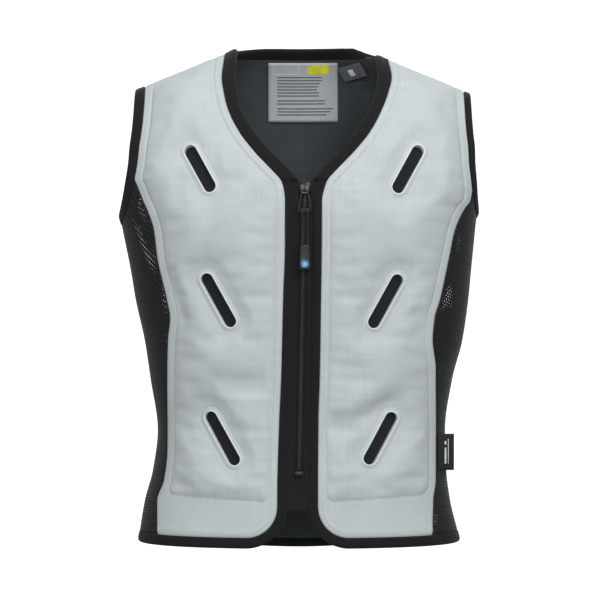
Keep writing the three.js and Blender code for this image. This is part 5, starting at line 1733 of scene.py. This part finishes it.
GREY_WEAVE = {"across": 1.1 * MM, "down": 1.0 * MM, "slub": 3.0 * MM, "run": 45 * MM}
LINING_WEAVE = {"across": 1.6 * MM, "down": 1.6 * MM, "slub": 3.4 * MM, "run": 30 * MM}
TAPE_WEAVE = {"across": 1.2 * MM, "down": 0.8 * MM, "slub": 1.4 * MM, "run": 20 * MM}
FINE_WEAVE = {"across": 0.6 * MM, "down": 0.5 * MM, "slub": 1.0 * MM, "run": 20 * MM}
THREAD_SHADE = (0.86, 1.08)
YARN_RANGE = (0.75, 1.25)
# Scale, detail and roughness of the slow shade changes
CLOUDS = (14.0, 4.0, 0.6)
MID_RANGE = (0.3, 0.7)
FUZZ_SCALE = 2600.0
FLECK = {"scale": 1500.0, "range": (0.45, 0.62), "rough": 0.85, "bump": 0.08 * MM, "sheen": 0.2}
# Heights of the threads, the fuzz and the uneven yarn in the weave, as shares of its bump
WEAVE_HEIGHTS = (0.5, 0.5, 0.6)
CLOTH_GLOSS = {"spread": 0.05, "sheen": 0.4, "specular": 0.25}
PATCHES = {
    "scale": 120.0, "range": (0.35, 0.75), "dark": 0.9, "bright": 1.25, "smoother": 0.06, "rougher": 0.08,
}


def cloth_material(name, color, weave, bump, rough, sheen, streaks, tint):
    """Woven cloth: threads, faint streaks along both yarns and slow shade changes."""
    n = Nodes(name)
    cloth = n.node("ShaderNodeSeparateXYZ", {0: n.node("ShaderNodeUVMap", uv_map="cloth").outputs[0]}).outputs
    space = n.node("ShaderNodeTexCoord").outputs["Object"]
    turns = [n.times(cloth[k], 2 * math.pi / weave[way]) for k, way in enumerate(("across", "down"))]
    threads = n.times(*(n.math("SINE", turn) for turn in turns))
    fine, long = 1 / weave["slub"], 1 / weave["run"]
    yarns = []
    for along in ((fine, long), (long, fine)):
        at = n.node("ShaderNodeCombineXYZ", {k: n.times(cloth[k], along[k]) for k in (0, 1)})
        yarns.append(n.noise(at.outputs[0], 1.0))
    yarn = n.math("ADD", *yarns)
    base = n.mix(n.ramp(yarn, *YARN_RANGE), shade(color, 1 - streaks), shade(color, 1 + streaks))
    base = n.mix(n.ramp(n.noise(space, *CLOUDS), *MID_RANGE), base, shade(color, 1 - tint))
    grain = n.ramp(threads, -1.0, 1.0, *THREAD_SHADE)
    base = n.node("ShaderNodeVectorMath", {0: base, 3: grain}, operation="SCALE").outputs[0]
    fuzz = n.noise(space, FUZZ_SCALE, 2.0)
    heights = [n.times(part, share) for part, share in zip((threads, fuzz, yarn), WEAVE_HEIGHTS)]
    height = n.math("ADD", n.math("ADD", heights[0], heights[1]), heights[2])
    spread = CLOTH_GLOSS["spread"]
    n.set(Base_Color=base, Roughness=n.ramp(fuzz, *MID_RANGE, rough - spread, rough + spread),
          Normal=n.bump(height, bump * MM), Sheen_Weight=sheen, Sheen_Roughness=CLOTH_GLOSS["sheen"],
          Specular_IOR_Level=CLOTH_GLOSS["specular"])
    return n.material


def hard_material(name, color, rough, metal=0.0, grain=900.0, bump=0.02, coat=0.0, wear=0.0):
    """Moulded or lacquered surface with fine grain and brighter, worn patches."""
    n = Nodes(name)
    space = n.node("ShaderNodeTexCoord").outputs["Object"]
    slow = n.noise(space, PATCHES["scale"])
    dark, bright = shade(color, PATCHES["dark"]), shade(color, PATCHES["bright"] + wear)
    base = n.mix(n.ramp(slow, *PATCHES["range"]), dark, bright)
    gloss = n.ramp(slow, *MID_RANGE, rough - PATCHES["smoother"], rough + PATCHES["rougher"])
    n.set(Base_Color=base, Roughness=gloss, Metallic=metal, Normal=n.bump(n.noise(space, grain), bump * MM),
          Coat_Weight=coat)
    return n.material


def heather_material(name, color, pale):
    n = Nodes(name)
    space = n.node("ShaderNodeTexCoord").outputs["Object"]
    fleck = n.noise(space, FLECK["scale"], 2.0)
    base = n.mix(n.ramp(fleck, *FLECK["range"]), rgba(color), rgba(pale))
    n.set(Base_Color=base, Roughness=FLECK["rough"], Normal=n.bump(fleck, FLECK["bump"]),
          Sheen_Weight=FLECK["sheen"])
    return n.material


# Cloth finishes. Tone is a share of the slot's colour, and bump is in millimetres.
CLOTH_COLUMNS = ("paint", "name", "slot", "tone", "weave", "bump", "rough", "sheen", "streaks", "tint")
CLOTHS = [
    ("grey", "grey_cloth_weave", "grey_cloth", 1.0, GREY_WEAVE, 0.09, 0.8, 0.12, 0.055, 0.05),
    # The welded edge's tone of 1.28 is a painted highlight: a paler copy of the grey cloth where the slot's
    # edge catches the light
    ("edge", "welded_edge", "grey_cloth", 1.28, GREY_WEAVE, 0.04, 0.6, 0.0, 0.02, 0.02),
    ("binding", "binding_knit", "black_binding", 0.5, TAPE_WEAVE, 0.16, 0.85, 0.1, 0.2, 0.15),
    ("thread", "binding_thread", "black_binding", 0.9, FINE_WEAVE, 0.05, 0.6, 0.1, 0.1, 0.1),
    ("lining", "front_lining_weave", "black_lining", 1.0, LINING_WEAVE, 0.15, 0.85, 0.2, 0.2, 0.2),
    # The back lining's tone of 2.2 is painted light: its colour is raised to make up for the shade inside the
    # vest
    ("back_lining", "back_lining_weave", "dark_lining", 2.2, LINING_WEAVE, 0.22, 0.85, 0.2, 0.14, 0.2),
    ("mesh", "side_mesh_knit", "black_mesh", 0.8, FINE_WEAVE, 0.08, 0.6, 0.2, 0.2, 0.1),
    ("tape", "zip_tape_weave", "zip_tape", 0.7, TAPE_WEAVE, 0.12, 0.75, 0.1, 0.2, 0.1),
    ("cord", "cord_braid", "cord", 0.9, FINE_WEAVE, 0.1, 0.6, 0.3, 0.3, 0.1),
    # The neck label's tone of 1.7 is painted light: its colour is raised to make up for the shade inside the
    # neck
    ("label", "neck_label_satin", "neck_label", 1.7, FINE_WEAVE, 0.05, 0.6, 0.1, 0.05, 0.05),
    ("side_tag", "side_tag_satin", "side_tag", 0.7, FINE_WEAVE, 0.05, 0.5, 0.1, 0.1, 0.1),
]
HARDS = [
    {"paint": "teeth", "name": "zip_teeth_plastic", "slot": "zip_plastic", "tone": 0.8,
     "rough": 0.45, "coat": 0.15},
    {"paint": "metal", "name": "slider_lacquer", "slot": "dark_metal", "tone": 0.42,
     "rough": 0.32, "metal": 0.5, "wear": 0.4, "coat": 0.4},
    {"paint": "rubber", "name": "grip_rubber_grain", "slot": "grip_rubber", "tone": 0.7,
     "rough": 0.5, "grain": 2200.0, "bump": 0.05},
    {"paint": "button", "name": "button_gloss", "slot": "blue_button", "tone": 0.6,
     "rough": 0.28, "coat": 0.5},
]
TAG_TONES = (1.1, 3.6)
INKS = {
    "dark": (0.12, 0.125, 0.13), "pale": (0.62, 0.63, 0.63),
    "yellow": (0.85, 0.82, 0.05), "white": (0.85, 0.85, 0.85),
}
INK_ROUGH = 0.7


def paints():
    slots = {entry["slot"]: entry["base_color"][:3] for entry in frame["record"]["materials"]}
    made = {}
    rows = [(cloth_material, dict(zip(CLOTH_COLUMNS, row))) for row in CLOTHS]
    for make, row in rows + [(hard_material, dict(row)) for row in HARDS]:
        paint, color = row.pop("paint"), shade(slots[row.pop("slot")], row.pop("tone"))[:3]
        made[paint] = make(color=color, **row)
    tones = [shade(slots["size_tag"], tone)[:3] for tone in TAG_TONES]
    made["tag"] = heather_material("size_tag_heather", *tones)
    for ink, color in INKS.items():
        made[f"print_{ink}"] = hard_material(f"print_{ink}_ink", color, INK_ROUGH)
    return made


# Stage: pale floor with a curved backdrop, and soft studio light

STAGE = {"floor": -0.95, "radius": 5.5, "bend": 2.0, "high": 3.0, "glow": 0.8, "centre": 0.1 * MM}
STAGE_STEPS = {"floor": 11, "bend": 24, "round": 96}
PAPER = (0.90, 0.93)
LAMPS = [
    {"name": "key", "at": (1.3, -2.3, 1.9), "size": 1.0, "power": 42},
    {"name": "front", "at": (0.1, -3.4, 0.6), "size": 1.6, "power": 42},
    {"name": "fill", "at": (-2.0, -2.2, 0.4), "size": 1.8, "power": 10},
    {"name": "top", "at": (-0.3, -0.4, 2.4), "size": 1.2, "power": 13},
    {"name": "rear", "at": (0.3, 2.4, 1.6), "size": 1.4, "power": 26},
]
WORLD_LIGHT = 0.3


def add_stage():
    """Round floor that curves up into a wall, so that it is plain from every side."""
    n = Nodes("backdrop_paper")
    space = n.node("ShaderNodeTexCoord").outputs["Object"]
    paper = n.mix(n.noise(space, 3.0), *(rgba((tone, tone, tone)) for tone in PAPER))
    n.set(Base_Color=paper, Roughness=0.9, Emission_Color=rgba((1, 1, 1)), Emission_Strength=STAGE["glow"])
    straight, flat = STAGE["radius"] - STAGE["bend"], STAGE_STEPS["floor"]
    bend = np.linspace(0, math.pi / 2, STAGE_STEPS["bend"])
    floor = np.linspace(STAGE["centre"], straight, flat + 1)[:-1]
    radius = np.concatenate([floor, straight + STAGE["bend"] * np.sin(bend), [STAGE["radius"]]])
    height = np.concatenate([np.zeros(flat), STAGE["bend"] * (1 - np.cos(bend)), [STAGE["high"]]])
    turn = np.linspace(0, 2 * math.pi, STAGE_STEPS["round"], endpoint=False)
    circle = np.stack([np.cos(turn), np.sin(turn), 0 * turn], axis=-1)
    points = radius[:, None, None] * circle + (height + STAGE["floor"])[:, None, None] * [0, 0, 1]
    faces = tube_faces(len(radius), len(turn)).tolist() + [list(range(len(turn)))]
    backdrop = Shape().add(points, faces).build("backdrop", n.material, closed=False)
    backdrop.visible_diffuse = False
    backdrop.visible_glossy = False


def add_lights():
    target = Vector((0, 0, CAMERA_HEIGHT))
    for lamp in LAMPS:
        light = bpy.data.lights.new(lamp["name"], "AREA")
        light.size = lamp["size"]
        light.energy = lamp["power"]
        piece = add_object(lamp["name"], light)
        piece.location = lamp["at"]
        piece.rotation_euler = (target - Vector(lamp["at"])).to_track_quat("-Z", "Y").to_euler()
    world = bpy.data.worlds.new("studio")
    world.use_nodes = True
    background = world.node_tree.nodes["Background"]
    background.inputs["Color"].default_value = (1, 1, 1, 1)
    background.inputs["Strength"].default_value = WORLD_LIGHT
    bpy.context.scene.world = world
    bpy.context.scene.view_settings.view_transform = "Standard"


# Assembly

SMALL_PIECES = [
    (zip_chain, "teeth", "vest", "zip_plastic", "zip_chain"),
    (zip_slider, "metal", "vest", "dark_metal", "zip_slider"),
    (bottom_stop, "teeth", "vest", "zip_plastic", "zip_bottom_stop"),
    (pull_link, "metal", "pull", "dark_metal", "pull_link"),
    (pull_cord, "cord", "pull", "cord", "pull_cord"),
    (pull_grip, "rubber", "pull", "grip_rubber", "pull_grip"),
    (pull_button, "button", "pull", "blue_button", "pull_button"),
]


def main():
    add_camera()
    paint = paints()
    for side in SIDES:
        SWELL[side] = front_swell(side)
        panel = dress(front_panel(side, paint["grey"]), "vest", "grey_cloth", f"front_panel_{side}")
        dress(slot_edges(side, paint["edge"]), "vest", "grey_cloth")
        dress(front_lining(side, paint["lining"]), "vest", "black_lining", f"front_lining_{side}")
        dress(side_mesh(side, paint["mesh"]), "vest", "black_mesh", f"side_mesh_{side}")
        dress(zip_tape(side, paint["tape"]), "vest", "zip_tape", f"zip_tape_{side}")
    dress(back_panel(paint["grey"]), "vest", "grey_cloth", "back_panel")
    dress(back_lining(paint["back_lining"]), "vest", "dark_lining", "back_lining")
    bindings(paint["binding"], paint["thread"])
    for make, finish, body, slot, node in SMALL_PIECES:
        dress(make(paint[finish]), body, slot, node)
    labels(paint)
    add_stage()
    add_lights()


main()
